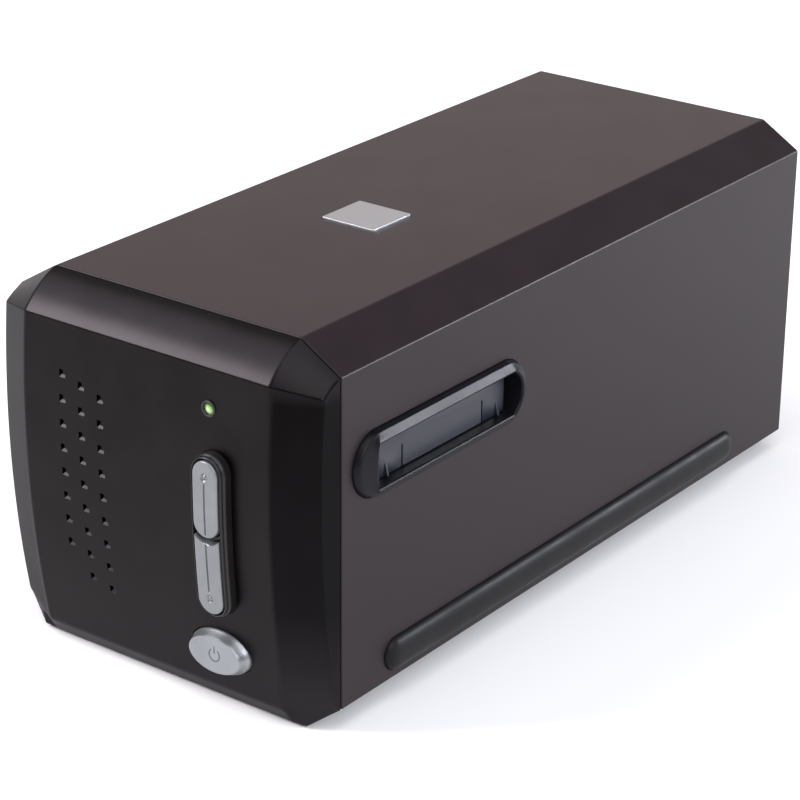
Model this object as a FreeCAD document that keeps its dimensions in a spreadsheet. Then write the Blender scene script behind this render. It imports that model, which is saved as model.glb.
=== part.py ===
import FreeCAD, Part
import math
import os
import Sketcher

# Desktop scanner for strips and slides of 35 mm film, in millimetres.
# X runs to the object's right, Y from its front to its back and Z up from the table.
# The origin lies on the table, under the middle of the overall box.
# Depths that end in _s count backwards from the seam between the front bezel and the cover.

SIZES = {
    "housing cover": {
        "cover_width": 120.0,
        "cover_length": 251.4,
        "overall_height": 119.0,
        "skirt_lift": 7.0,
        "cover_wall": 2.2,
        "chamfer_width": 14.0,
        "chamfer_drop": 8.5,
        "fit_gap": 0.2,
        "seam_gap": 0.7,
        "cut_overrun": 2.0,
    },
    "front bezel": {
        "bezel_depth": 16.0,
        "bezel_wall": 2.4,
        "bezel_lift": 0.8,
        "barrel_radius": 346.0,
        "barrel_height": 72.4,
        "facet_set_back": 6.4,
        "top_facet_radius": 31.0,
        "crease_height": 108.9,
        "side_crease_height": 106.6,
        "foot_crease_height": 6.0,
        "side_foot_height": 9.9,
        "foot_bevel_depth": 6.0,
        "side_bevel_depth": 1.1,
        "corner_foot_inset": 8.5,
        "lip_length": 5.0,
        "lip_wall": 1.6,
        "rim_depth": 2.0,
        "rim_inset": 1.0,
    },
    "pin dimples": {
        "dimple_radius": 1.1,
        "dimple_depth": 0.9,
        "dimple_pitch": 7.8,
        "dimple_column_pitch": 7.35,
        "dimple_column_drop": 2.1,
        "dimple_inner_column": 16.0,
        "dimple_top_height": 93.4,
    },
    "keys and lamp": {
        "key_column": 27.2,
        "key_half_width": 4.5,
        "key_top_height": 83.5,
        "key_split_height": 59.8,
        "key_foot_height": 35.0,
        "key_proud": 4.6,
        "key_gap": 0.5,
        "key_travel": 0.8,
        "key_cap_depth": 7.0,
        "key_stem_radius": 1.6,
        "septum": 0.9,
        "collar_wall": 1.1,
        "collar_proud": 4.0,
        "collar_back_s": -8.0,
        "power_column": 25.8,
        "power_height": 19.2,
        "power_half_width": 10.6,
        "power_half_height": 6.4,
        "power_proud": 3.8,
        "power_gap": 0.35,
        "power_cap_depth": 6.0,
        "lens_column": 24.9,
        "lens_height": 97.2,
        "lens_radius": 1.6,
        "lens_ring_radius": 2.1,
        "lens_ring_proud": 0.45,
        "lens_length": 11.6,
    },
    "button board": {
        "board_thickness": 1.6,
        "button_board_face_s": -3.0,
        "button_board_half_width": 13.0,
        "button_board_foot": 11.0,
        "button_board_top": 102.0,
        "switch_size": 6.0,
        "switch_depth": 3.4,
        "boss_radius": 2.6,
        "boss_offset": 10.0,
        "boss_height_low": 29.5,
        "boss_height_high": 90.0,
    },
    "film slot": {
        "slot_front_s": 13.2,
        "slot_rear_s": 79.7,
        "slot_bulge": 4.0,
        "slot_floor": 73.0,
        "slot_height": 13.5,
        "ring_front_s": 4.9,
        "ring_rear_s": 88.0,
        "ring_height": 20.6,
        "ring_proud": 3.3,
        "ring_lip": 0.8,
        "neck_wall": 1.6,
        "neck_reach": 9.0,
    },
    "dust doors": {
        "door_thickness": 1.4,
        "door_set_back": 1.5,
        "door_end_gap": 0.3,
        "door_pin_radius": 0.6,
        "door_barrel_radius": 1.1,
        "running_gap": 0.05,
        "pin_seat_gap": 0.03,
        "door_slit_width": 0.6,
        "door_slit_height": 7.0,
        "door_slit_front_s": 29.0,
        "door_slit_rear_s": 68.2,
        "door_hook_front_s": 21.2,
        "door_hook_rear_s": 75.5,
        "door_hook_width": 0.8,
        "door_hook_proud": 1.1,
        "door_hook_height": 4.5,
    },
    "trim": {
        "badge_size_x": 20.0,
        "badge_size_y": 19.0,
        "badge_centre_s": 88.8,
        "badge_thickness": 1.4,
        "badge_proud": 0.6,
        "strip_front_s": 20.3,
        "strip_rear_s": 216.0,
        "strip_foot": 9.3,
        "strip_height": 10.6,
        "strip_proud": 2.5,
        "strip_crown_radius": 7.0,
        "strip_seat": 1.0,
    },
    "base tray": {
        "tray_lift": 1.2,
        "tray_wall": 2.2,
        "tray_side_wall": 1.6,
        "tray_side_height": 17.0,
        "tray_end_gap": 0.4,
        "tray_boss_radius": 4.0,
        "tray_boss_x": 40.0,
        "tray_boss_front_s": 30.0,
        "tray_boss_rear_s": 192.0,
        "foot_radius": 6.5,
        "foot_recess": 1.0,
        "foot_x": 40.0,
        "foot_front_s": 16.0,
        "foot_rear_s": 232.0,
        "screw_radius": 1.5,
        "screw_head_radius": 2.8,
        "screw_head_height": 1.6,
        "screw_gap": 0.1,
        "screw_length": 7.6,
    },
    "rear panel": {
        "panel_thickness": 2.4,
        "vent_width": 2.2,
        "vent_pitch": 6.0,
        "vent_foot": 82.0,
        "vent_top": 100.0,
        "main_board_s": 233.0,
        "main_board_half_width": 44.0,
        "main_board_foot": 12.0,
        "main_board_top": 72.0,
        "standoff_radius": 3.0,
        "standoff_x": 39.0,
        "standoff_low": 36.0,
        "standoff_high": 67.0,
        "socket_set_in": 0.5,
        "usb_centre": -30.0,
        "usb_foot": 18.0,
        "usb_width": 12.0,
        "usb_height": 11.0,
        "usb_mouth_width": 8.4,
        "usb_mouth_height": 7.8,
        "usb_mouth_depth": 9.0,
        "usb_tongue_width": 5.6,
        "usb_tongue_height": 3.2,
        "jack_centre": -8.0,
        "jack_size": 10.0,
        "jack_bore_radius": 3.2,
        "jack_pin_radius": 1.0,
        "jack_depth": 9.5,
    },
    "chassis and guides": {
        "chassis_sheet": 1.4,
        "chassis_lift": 6.0,
        "chassis_half_width": 49.0,
        "chassis_front_s": 12.0,
        "chassis_rear_s": 207.4,
        "chassis_front_height": 36.0,
        "chassis_rear_height": 44.0,
        "chassis_wall_front_s": 16.0,
        "chassis_wall_rear_s": 80.0,
        "rod_x": 38.5,
        "rod_height": 22.0,
        "rod_radius": 3.0,
        "screw_height": 18.0,
        "lead_radius": 2.5,
        "lead_front_s": 9.5,
        "lead_rear_s": 219.0,
        "lead_end_gap": 0.3,
        "bearing_radius": 4.5,
        "bearing_flange_radius": 7.0,
        "bearing_length": 5.0,
        "motor_radius": 14.0,
        "motor_length": 19.5,
        "motor_flange_half_width": 21.0,
        "motor_flange_sheet": 1.2,
        "home_sensor_x": 16.0,
        "home_sensor_width": 12.0,
        "home_sensor_depth": 6.0,
        "home_sensor_height": 9.0,
        "home_sensor_slot": 4.0,
    },
    "film channel": {
        "channel_wall": 1.5,
        "channel_ease": 0.5,
        "channel_end_gap": 0.3,
        "window_half_width": 20.0,
        "window_front_s": 30.0,
        "window_rear_s": 64.0,
        "detent_sheet": 0.5,
        "detent_length": 18.0,
        "detent_height": 6.0,
        "detent_x": 34.0,
        "detent_bump": 1.6,
    },
    "scan carriage": {
        "scan_travel": 26.0,
        "scan_line_s": 34.0,
        "axis_height": 46.0,
        "trough_front_s": 20.0,
        "trough_rear_s": 176.0,
        "trough_half_width": 34.0,
        "trough_floor": 30.0,
        "trough_top": 64.0,
        "trough_wall": 2.5,
        "trough_floor_thickness": 3.0,
        "mirror_half_width": 20.0,
        "mirror_reach": 22.0,
        "mirror_thickness": 1.8,
        "lens_barrel_radius": 12.0,
        "lens_bore_radius": 9.2,
        "lens_front_s": 96.0,
        "lens_barrel_length": 26.0,
        "glass_thickness": 3.0,
        "glass_inset": 3.0,
        "clamp_sheet": 1.0,
        "clamp_length": 10.0,
        "block_half_width": 15.0,
        "sensor_board_s": 166.0,
        "sensor_board_half_width": 28.0,
        "line_sensor_half_width": 21.0,
        "line_sensor_height": 9.0,
        "line_sensor_depth": 3.0,
        "boss_bush_radius": 4.5,
        "boss_wall": 2.0,
        "bush_length": 12.0,
        "bush_front_s": 44.0,
        "bush_rear_s": 128.0,
        "bush_right_s": 86.0,
        "bush_gap": 0.02,
        "rod_gap": 0.04,
        "nut_radius": 5.0,
        "nut_block_half_width": 8.0,
        "nut_front_s": 104.0,
        "nut_length": 12.0,
        "upright_s": 88.0,
        "upright_thickness": 3.0,
        "upright_half_width": 31.5,
        "upright_foot": 57.5,
        "arm_floor": 96.0,
        "arm_thickness": 2.6,
        "arm_half_width": 24.0,
        "arm_front_s": 22.0,
        "lamp_half_width": 21.0,
        "lamp_half_depth": 8.0,
        "lamp_floor": 89.2,
        "lamp_wall": 1.4,
        "diffuser_thickness": 1.2,
        "lamp_board_thickness": 1.2,
        "flag_x": 21.2,
        "flag_thickness": 1.6,
        "flag_foot": 12.5,
        "flag_front_s": 15.0,
    },
}

DIMPLE_ROWS = (8, 9, 9)
RING_SHARES = ((0.0, 0.0), (0.4, 0.3), (1.0, 1.0))
POST_SIDES = 12
DIMPLE_SIDES = 6
FOOT_CORNERS = ((-1, 0), (1, 0), (-1, 1), (1, 1))

# Shares of the wall by which an inner corner of the bezel lies off its outer one.
crease_share = 0.6
foot_share = 0.4
side_bevel_share = 0.2
waist_share = 0.3
# Shares of other sizes.
switch_case_share = 0.7
motor_flange_share = 0.5
sensor_yoke_share = 0.3
boss_web_share = 0.8
mirror_lip_share = 0.5
tray_foot_share = 0.5
sensor_post_share = 1.5
diagonal_share = math.sqrt(0.5)
VENT_STEPS = range(-5, 6)


class Measure:
    """A length that knows both its number and the spreadsheet formula it comes from."""

    def __init__(self, text, value):
        self.text = text
        self.value = value

    @staticmethod
    def of(number):
        if isinstance(number, Measure):
            return number
        return Measure(repr(number), float(number))

    def __add__(self, other):
        other = Measure.of(other)
        return Measure(f"({self.text} + {other.text})", self.value + other.value)

    def __radd__(self, other):
        return Measure.of(other) + self

    def __sub__(self, other):
        other = Measure.of(other)
        return Measure(f"({self.text} - {other.text})", self.value - other.value)

    def __rsub__(self, other):
        return Measure.of(other) - self

    def __mul__(self, other):
        other = Measure.of(other)
        return Measure(f"({self.text} * {other.text})", self.value * other.value)

    def __rmul__(self, other):
        return Measure.of(other) * self

    def __truediv__(self, other):
        other = Measure.of(other)
        return Measure(f"({self.text} / {other.text})", self.value / other.value)

    def __neg__(self):
        return Measure(f"(-1 * {self.text})", -self.value)

    def root(self):
        return Measure(f"sqrt({self.text})", math.sqrt(self.value))


class SizeSheet:
    """The spreadsheet of driving sizes, read back as measures by name."""

    def __init__(self, document):
        self.sheet = document.addObject("Spreadsheet::Sheet", "Sizes")
        row = 0
        for heading, entries in SIZES.items():
            row += 1
            self.sheet.set(f"A{row}", heading)
            for alias, number in entries.items():
                row += 1
                self.sheet.set(f"A{row}", alias)
                self.sheet.set(f"B{row}", str(number))
                self.sheet.setAlias(f"B{row}", alias)
        document.recompute()

    def __getattr__(self, alias):
        return Measure(f"Sizes.{alias}", float(self.sheet.get(alias)))


document = FreeCAD.newDocument("film_scanner")
size = SizeSheet(document)
nodes = []

# Places that many pieces share
half_width = size.cover_width / 2
overall_length = size.cover_length + size.bezel_depth + size.key_proud
seam = size.bezel_depth + size.key_proud - overall_length / 2
rear_face = seam + size.cover_length
bezel_back = seam - size.seam_gap
shoulder = half_width - size.chamfer_width
shoulder_height = size.overall_height - size.chamfer_drop
slot_ceiling = size.slot_floor + size.slot_height
slot_middle = size.slot_floor + size.slot_height / 2
board_back = size.tray_lift + size.tray_wall


def behind(depth):
    """The Y place of a depth that counts back from the seam."""
    return seam + depth


def face_depth(height):
    """How far the barrel-shaped front face stands ahead of the seam at a height."""
    rise = height - size.barrel_height
    reach = (size.barrel_radius * size.barrel_radius - rise * rise).root()
    return size.bezel_depth - (size.barrel_radius - reach)


def bind(obj, path, measure):
    obj.setExpression(path, Measure.of(measure).text)


def place(obj, x, y, z):
    bind(obj, "Placement.Base.x", x)
    bind(obj, "Placement.Base.y", y)
    bind(obj, "Placement.Base.z", z)


def box(x, y, z):
    """A block between the low and high bound of each axis."""
    block = document.addObject("Part::Box", "block")
    bind(block, "Length", x[1] - x[0])
    bind(block, "Width", y[1] - y[0])
    bind(block, "Height", z[1] - z[0])
    place(block, x[0], y[0], z[0])
    return block


def cylinder(axis, start, radius, length):
    """A round bar from its start point along the Y or Z axis."""
    turns = {
        "Y": FreeCAD.Rotation(FreeCAD.Vector(1, 0, 0), -90),
        "Z": FreeCAD.Rotation(),
    }
    bar = document.addObject("Part::Cylinder", "bar")
    bind(bar, "Radius", radius)
    bind(bar, "Height", length)
    bar.Placement = FreeCAD.Placement(FreeCAD.Vector(), turns[axis])
    place(bar, *start)
    return bar


def post(axis, start, radius, length, sides=POST_SIDES):
    """A many-sided bar for screws, bosses and their holes, set out as the round bar is."""
    turns = {
        "Y": FreeCAD.Rotation(FreeCAD.Vector(1, 0, 0), -90),
        "Z": FreeCAD.Rotation(),
    }
    bar = document.addObject("Part::Prism", "post")
    bar.Polygon = sides
    bind(bar, "Circumradius", radius)
    bind(bar, "Height", length)
    bar.Placement = FreeCAD.Placement(FreeCAD.Vector(), turns[axis])
    place(bar, *start)
    return bar


def fuse(*shapes):
    joined = document.addObject("Part::MultiFuse", "joined")
    joined.Shapes = list(shapes)
    joined.Refine = True
    return joined


def cut(base, *tools):
    result = document.addObject("Part::Cut", "cut")
    result.Base = base
    result.Tool = tools[0] if len(tools) == 1 else fuse(*tools)
    result.Refine = True
    return result


def common(first, second):
    result = document.addObject("Part::Common", "common")
    result.Base = first
    result.Tool = second
    return result


def group(*shapes):
    """Several separate solids that share one node."""
    bundle = document.addObject("Part::Compound", "group")
    bundle.Links = list(shapes)
    return bundle


def node(name, obj):
    obj.Label = name
    nodes.append((name, obj))
    return obj


def arc_between(a, b, radius, bulge):
    """An arc of a given radius from a to b that bulges to the right of the way (+1) or left (-1)."""
    chord = FreeCAD.Vector(b[0] - a[0], b[1] - a[1], 0)
    half = chord.Length / 2
    sagitta = radius - math.sqrt(max(radius * radius - half * half, 0))
    middle = FreeCAD.Vector((a[0] + b[0]) / 2, (a[1] + b[1]) / 2, 0)
    side = FreeCAD.Vector(chord.y, -chord.x, 0).normalize() * (bulge * sagitta)
    start, end = (a, b) if bulge > 0 else (b, a)
    return Part.Arc(
        FreeCAD.Vector(start[0], start[1], 0), middle + side, FreeCAD.Vector(end[0], end[1], 0)
    )


def constrain_coordinate(sketch, kind, geometry, point, measure):
    if measure.value == 0:
        axis = -2 if kind == "DistanceX" else -1
        sketch.addConstraint(Sketcher.Constraint("PointOnObject", geometry, point, axis))
        return
    rule = Sketcher.Constraint(kind, -1, 1, geometry, point, measure.value)
    index = sketch.addConstraint(rule)
    sketch.setExpression(f"Constraints[{index}]", measure.text)


def end_arc(chord, half, sagitta, outward):
    """An arc over an upright chord, held by its centre so that it may be a half circle."""
    radius = (half * half + sagitta * sagitta) / (sagitta * 2)
    return radius, 1, ("DistanceX", chord + (sagitta - radius) * outward)


def hold_arc(sketch, geometry, arc):
    """Binds an arc by the coordinate of its centre where one is given, else by its radius."""
    if len(arc) == 3:
        kind, centre = arc[2]
        constrain_coordinate(sketch, kind, geometry, 3, centre)
        return
    rule = Sketcher.Constraint("Radius", geometry, arc[0].value)
    index = sketch.addConstraint(rule)
    sketch.setExpression(f"Constraints[{index}]", arc[0].text)


def draw_loop(sketch, points, arcs):
    """A closed outline whose corners and radii are all bound to the sheet."""
    corners = [(Measure.of(u), Measure.of(v)) for u, v in points]
    first = sketch.GeometryCount
    for index, (u, v) in enumerate(corners):
        end_u, end_v = corners[(index + 1) % len(corners)]
        start = (u.value, v.value)
        end = (end_u.value, end_v.value)
        if index in arcs:
            radius, bulge = arcs[index][:2]
            sketch.addGeometry(arc_between(start, end, radius.value, bulge), False)
        else:
            line = Part.LineSegment(FreeCAD.Vector(*start, 0), FreeCAD.Vector(*end, 0))
            sketch.addGeometry(line, False)
    ends = []
    for index in range(len(corners)):
        turned = index in arcs and arcs[index][1] < 0
        ends.append((2, 1) if turned else (1, 2))
    for index, (u, v) in enumerate(corners):
        constrain_coordinate(sketch, "DistanceX", first + index, ends[index][0], u)
        constrain_coordinate(sketch, "DistanceY", first + index, ends[index][0], v)
        following = (index + 1) % len(corners)
        joint = Sketcher.Constraint(
            "Coincident", first + index, ends[index][1], first + following, ends[following][0]
        )
        sketch.addConstraint(joint)
        if index in arcs:
            hold_arc(sketch, first + index, arcs[index])


def sketch_on(body, plane, offset):
    """An empty sketch on one of the body's own planes, moved along that plane's normal."""
    found = [item for item in body.Origin.OriginFeatures if item.Role == plane]
    sketch = body.newObject("Sketcher::SketchObject", "outline")
    sketch.AttachmentSupport = [(found[0], "")]
    sketch.MapMode = "FlatFace"
    bind(sketch, "AttachmentOffset.Base.z", offset)
    return sketch


def prism(plane, start, length, *loops):
    """A pad of closed loops from a start along +X, +Y or +Z, whichever the plane faces.

    Each loop is (points, arcs). A loop inside another leaves a hole.
    """
    body = document.addObject("PartDesign::Body", "prism")
    start = Measure.of(start)
    offset = -start if plane == "XZ_Plane" else start
    sketch = sketch_on(body, plane, offset)
    for points, arcs in loops:
        draw_loop(sketch, points, arcs)
    document.recompute()
    pad = body.newObject("PartDesign::Pad", "pad")
    pad.Profile = sketch
    pad.Reversed = plane == "XZ_Plane"
    bind(pad, "Length", length)
    document.recompute()
    return body


def loft(plane, stations):
    """A ruled loft through outlines that stand at stations along the plane's normal."""
    body = document.addObject("PartDesign::Body", "loft")
    sketches = []
    for offset, (points, arcs) in stations:
        sketch = sketch_on(body, plane, offset)
        draw_loop(sketch, points, arcs)
        sketches.append(sketch)
    document.recompute()
    feature = body.newObject("PartDesign::AdditiveLoft", "ruled_loft")
    feature.Profile = sketches[0]
    feature.Sections = sketches[1:]
    feature.Ruled = True
    document.recompute()
    return body


def spread(centre, half):
    return centre - half, centre + half


def tunnel_outline(inset, foot):
    """The cover's cross-section, drawn in by an inset and closed at a foot height."""
    slope = (size.chamfer_drop * size.chamfer_drop + size.chamfer_width * size.chamfer_width).root()
    slant = inset * (slope - size.chamfer_drop) / size.chamfer_width
    lean = inset * (slope - size.chamfer_width) / size.chamfer_drop
    side = half_width - inset
    top = size.overall_height - inset
    points = [
        (-side, foot),
        (side, foot),
        (side, shoulder_height - lean),
        (shoulder - slant, top),
        (slant - shoulder, top),
        (-side, shoulder_height - lean),
    ]
    return points, {}


def make_housing_cover():
    """A folded tunnel of sheet-thin plastic: two sides, two chamfers and the top."""
    outer, _ = tunnel_outline(Measure.of(0), size.skirt_lift)
    inner, _ = tunnel_outline(size.cover_wall, size.skirt_lift)
    skirt = [(outer[0][0], size.skirt_lift), outer[5], outer[4], outer[3], outer[2]]
    skirt += [(outer[1][0], size.skirt_lift), (inner[1][0], size.skirt_lift)]
    skirt += [inner[2], inner[3], inner[4], inner[5], (inner[0][0], size.skirt_lift)]
    tunnel = prism("XZ_Plane", seam, size.cover_length, (skirt, {}))
    aperture = prism(
        "YZ_Plane",
        -half_width - size.cut_overrun,
        size.cover_width + size.cut_overrun * 2,
        slot_outline(size.neck_wall + size.fit_gap),
    )
    recess = box(
        spread(Measure.of(0), size.badge_size_x / 2 + size.fit_gap),
        spread(behind(size.badge_centre_s), size.badge_size_y / 2 + size.fit_gap),
        (size.overall_height + size.badge_proud - size.badge_thickness,
         size.overall_height + size.cut_overrun),
    )
    seats = []
    for side in (-1, 1):
        face = side * half_width
        inner_face = side * (half_width - size.strip_seat)
        low, high = (inner_face, face + size.cut_overrun)
        if side < 0:
            low, high = (face - size.cut_overrun, inner_face)
        points, arcs = strip_outline(size.fit_gap)
        seats.append(prism("YZ_Plane", low, high - low, (points, arcs)))
    node("housing_cover", cut(tunnel, aperture, recess, *seats))


def slot_outline(margin):
    """The slot's mouth, straight at the front end and bulged at the rear, grown by a margin."""
    front = behind(size.slot_front_s) - margin
    rear = behind(size.slot_rear_s)
    low = size.slot_floor - margin
    high = slot_ceiling + margin
    points = [(front, low), (rear, low), (rear, high), (front, high)]
    arc = end_arc(rear, size.slot_height / 2 + margin, size.slot_bulge + margin, 1)
    return points, {1: arc}


def ring_outline(share):
    """The raised slot ring's outline between its foot (share 0) and its lip (share 1)."""
    lip_half = size.slot_height / 2 + size.ring_lip
    half = size.ring_height / 2 + (lip_half - size.ring_height / 2) * share
    foot_front = behind(size.ring_front_s) + size.ring_height / 2
    foot_rear = behind(size.ring_rear_s) - size.ring_height / 2
    front = foot_front + (behind(size.slot_front_s) - foot_front) * share
    rear = foot_rear + (behind(size.slot_rear_s) - foot_rear) * share
    front_sag = size.ring_height / 2 + (size.ring_lip - size.ring_height / 2) * share
    rear_end = size.slot_bulge + size.ring_lip
    rear_sag = size.ring_height / 2 + (rear_end - size.ring_height / 2) * share
    low = slot_middle - half
    high = slot_middle + half
    points = [(front, low), (rear, low), (rear, high), (front, high)]
    return points, {1: end_arc(rear, half, rear_sag, 1), 3: end_arc(front, half, front_sag, -1)}


def make_slot_bezel(side, name):
    """A proud convex ring with a neck that carries the door pin inside the cover's wall."""
    stations = []
    for inset_share, rise_share in RING_SHARES:
        rise = half_width + size.ring_proud * (1 - (1 - inset_share) * (1 - inset_share))
        stations.append((side * rise, ring_outline(rise_share)))
    ring = loft("YZ_Plane", stations)
    neck_end = half_width - size.neck_reach
    neck_start = neck_end if side > 0 else -half_width
    neck = prism("YZ_Plane", neck_start, size.neck_reach, slot_outline(size.neck_wall))
    reach = size.neck_reach + size.ring_proud + size.cut_overrun * 2
    mouth_start = neck_end - size.cut_overrun if side > 0 else -neck_end + size.cut_overrun - reach
    mouth = prism("YZ_Plane", mouth_start, reach, slot_outline(Measure.of(0)))
    seat = cylinder("Y", door_pin_start(side, size.pin_seat_gap),
                    size.door_pin_radius + size.pin_seat_gap,
                    door_pin_length() + size.pin_seat_gap * 2)
    node(name, cut(fuse(ring, neck), mouth, seat))


def door_pin_axis(side):
    height = slot_ceiling - size.door_barrel_radius - size.door_end_gap
    return side * (half_width - size.door_set_back), height


def door_pin_start(side, grow):
    x, z = door_pin_axis(side)
    return x, behind(size.slot_front_s) - size.neck_wall + size.fit_gap * 2 - grow, z


def door_pin_length():
    return size.slot_rear_s - size.slot_front_s + size.slot_bulge + size.neck_wall - size.fit_gap * 8


def make_door_pin(side, name):
    node(name, cylinder("Y", door_pin_start(side, 0), size.door_pin_radius, door_pin_length()))


def make_dust_door(side, name):
    """A flap that hangs on its pin, slit twice from its foot, with two small hooks outside."""
    pin_x, pin_z = door_pin_axis(side)
    front = behind(size.slot_front_s) + size.door_end_gap
    rear = behind(size.slot_rear_s) - size.door_end_gap
    foot = size.slot_floor + size.door_end_gap
    panel = box(spread(pin_x, size.door_thickness / 2), (front, rear), (foot, pin_z))
    barrel = cylinder("Y", (pin_x, front, pin_z), size.door_barrel_radius, rear - front)
    hooks = []
    for hook_s in (size.door_hook_front_s, size.door_hook_rear_s):
        face = pin_x + side * size.door_thickness / 2
        tip = face + side * size.door_hook_proud
        profile = [(face, foot), (tip, foot), (face, foot + size.door_hook_height)]
        start = behind(hook_s) - size.door_hook_width / 2
        hooks.append(prism("XZ_Plane", start, size.door_hook_width, (profile, {})))
    bore = cylinder("Y", (pin_x, front - size.cut_overrun, pin_z),
                    size.door_pin_radius + size.running_gap,
                    rear - front + size.cut_overrun * 2)
    slits = []
    for slit_s in (size.door_slit_front_s, size.door_slit_rear_s):
        slits.append(box(
            spread(pin_x, size.door_thickness),
            spread(behind(slit_s), size.door_slit_width / 2),
            (foot - size.cut_overrun, foot + size.door_slit_height),
        ))
    node(name, cut(fuse(panel, barrel, *hooks), bore, *slits))


def bezel_section(set_back, inset, top, crease, foot, bevel_depth, bevel_height, back, crown):
    """One side profile of the bezel: rear edge, crowned top facet, barrel face and foot bevel."""
    crease_y = seam - face_depth(crease) + set_back + inset
    foot_y = seam - face_depth(foot) + set_back + inset
    bevel_y = seam - bevel_depth
    points = [
        (back, top),
        (crease_y, crease),
        (foot_y, foot),
        (bevel_y, bevel_height),
        (back, bevel_height),
    ]
    return points, {0: (crown, 1), 1: (size.barrel_radius, 1)}


def between(first, second, share):
    """The outline that lies a share of the way from one outline to another, corner by corner."""
    points = []
    for (first_u, first_v), (second_u, second_v) in zip(first[0], second[0]):
        points.append((first_u + (second_u - first_u) * share, first_v + (second_v - first_v) * share))
    return points, first[1]


def bezel_loft(inset, back):
    """The faceted bezel block, drawn in by an inset."""
    crown = size.top_facet_radius
    middle = bezel_section(
        Measure.of(0), inset, size.overall_height - inset, size.crease_height - inset * crease_share,
        size.foot_crease_height + inset * foot_share, size.foot_bevel_depth - inset,
        size.bezel_lift + inset, back, crown,
    )
    end = bezel_section(
        size.facet_set_back, inset, shoulder_height - inset, size.side_crease_height - inset * crease_share,
        size.side_foot_height + inset * foot_share, size.side_bevel_depth - inset * side_bevel_share,
        size.skirt_lift + inset, back, crown,
    )
    share = (size.chamfer_width - size.corner_foot_inset) / size.chamfer_width
    corner = between(middle, end, share)
    corner[0][3] = (middle[0][3][0], middle[0][3][1])
    corner[0][4] = (middle[0][4][0], middle[0][4][1])
    side = half_width - inset
    waist = shoulder - inset * waist_share
    corner_x = half_width - size.corner_foot_inset - inset * crease_share
    stations = [(-side, end), (-corner_x, corner), (-waist, middle)]
    stations += [(waist, middle), (corner_x, corner), (side, end)]
    return loft("YZ_Plane", stations)


def stadium(centre, half, low, high):
    """An upright slot shape with round ends, between a foot and a top height."""
    points = [
        (centre + half, low + half),
        (centre + half, high - half),
        (centre - half, high - half),
        (centre - half, low + half),
    ]
    top_arc = (half, 1, ("DistanceY", high - half))
    foot_arc = (half, 1, ("DistanceY", low + half))
    return points, {1: top_arc, 3: foot_arc}


def collar_loop(grow):
    reach = size.key_gap + size.collar_wall + grow
    return stadium(size.key_column, size.key_half_width + reach,
                   size.key_foot_height - reach, size.key_top_height + reach)


def oval_bar(centre_x, centre_z, half_x, half_z, start, length):
    """An elliptical bar along Y."""
    disc = document.addObject("Part::Ellipse", "oval")
    bind(disc, "MajorRadius", half_x)
    bind(disc, "MinorRadius", half_z)
    disc.Placement = FreeCAD.Placement(
        FreeCAD.Vector(), FreeCAD.Rotation(FreeCAD.Vector(1, 0, 0), -90)
    )
    place(disc, centre_x, start, centre_z)
    bar = document.addObject("Part::Extrusion", "oval_bar")
    bar.Base = disc
    bar.DirMode = "Custom"
    bar.Dir = FreeCAD.Vector(0, 1, 0)
    bar.Solid = True
    bind(bar, "LengthFwd", length)
    return bar


def dimple_places():
    """Where the pin dimples stand on the front face, column by column from the left."""
    places = []
    columns = len(DIMPLE_ROWS)
    for column, rows in enumerate(DIMPLE_ROWS):
        x = -size.dimple_inner_column - size.dimple_column_pitch * (columns - 1 - column)
        for row in range(rows):
            height = size.dimple_top_height - size.dimple_column_drop * column
            places.append((x, height - size.dimple_pitch * row))
    return places


def dimple_pins():
    """Short pins that reach into the barrel face by a dimple's depth."""
    pins = []
    for x, z in dimple_places():
        start = seam - face_depth(z) - size.cut_overrun
        length = size.dimple_depth + size.cut_overrun
        pins.append(post("Y", (x, start, z), size.dimple_radius, length, DIMPLE_SIDES))
    return pins


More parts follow.
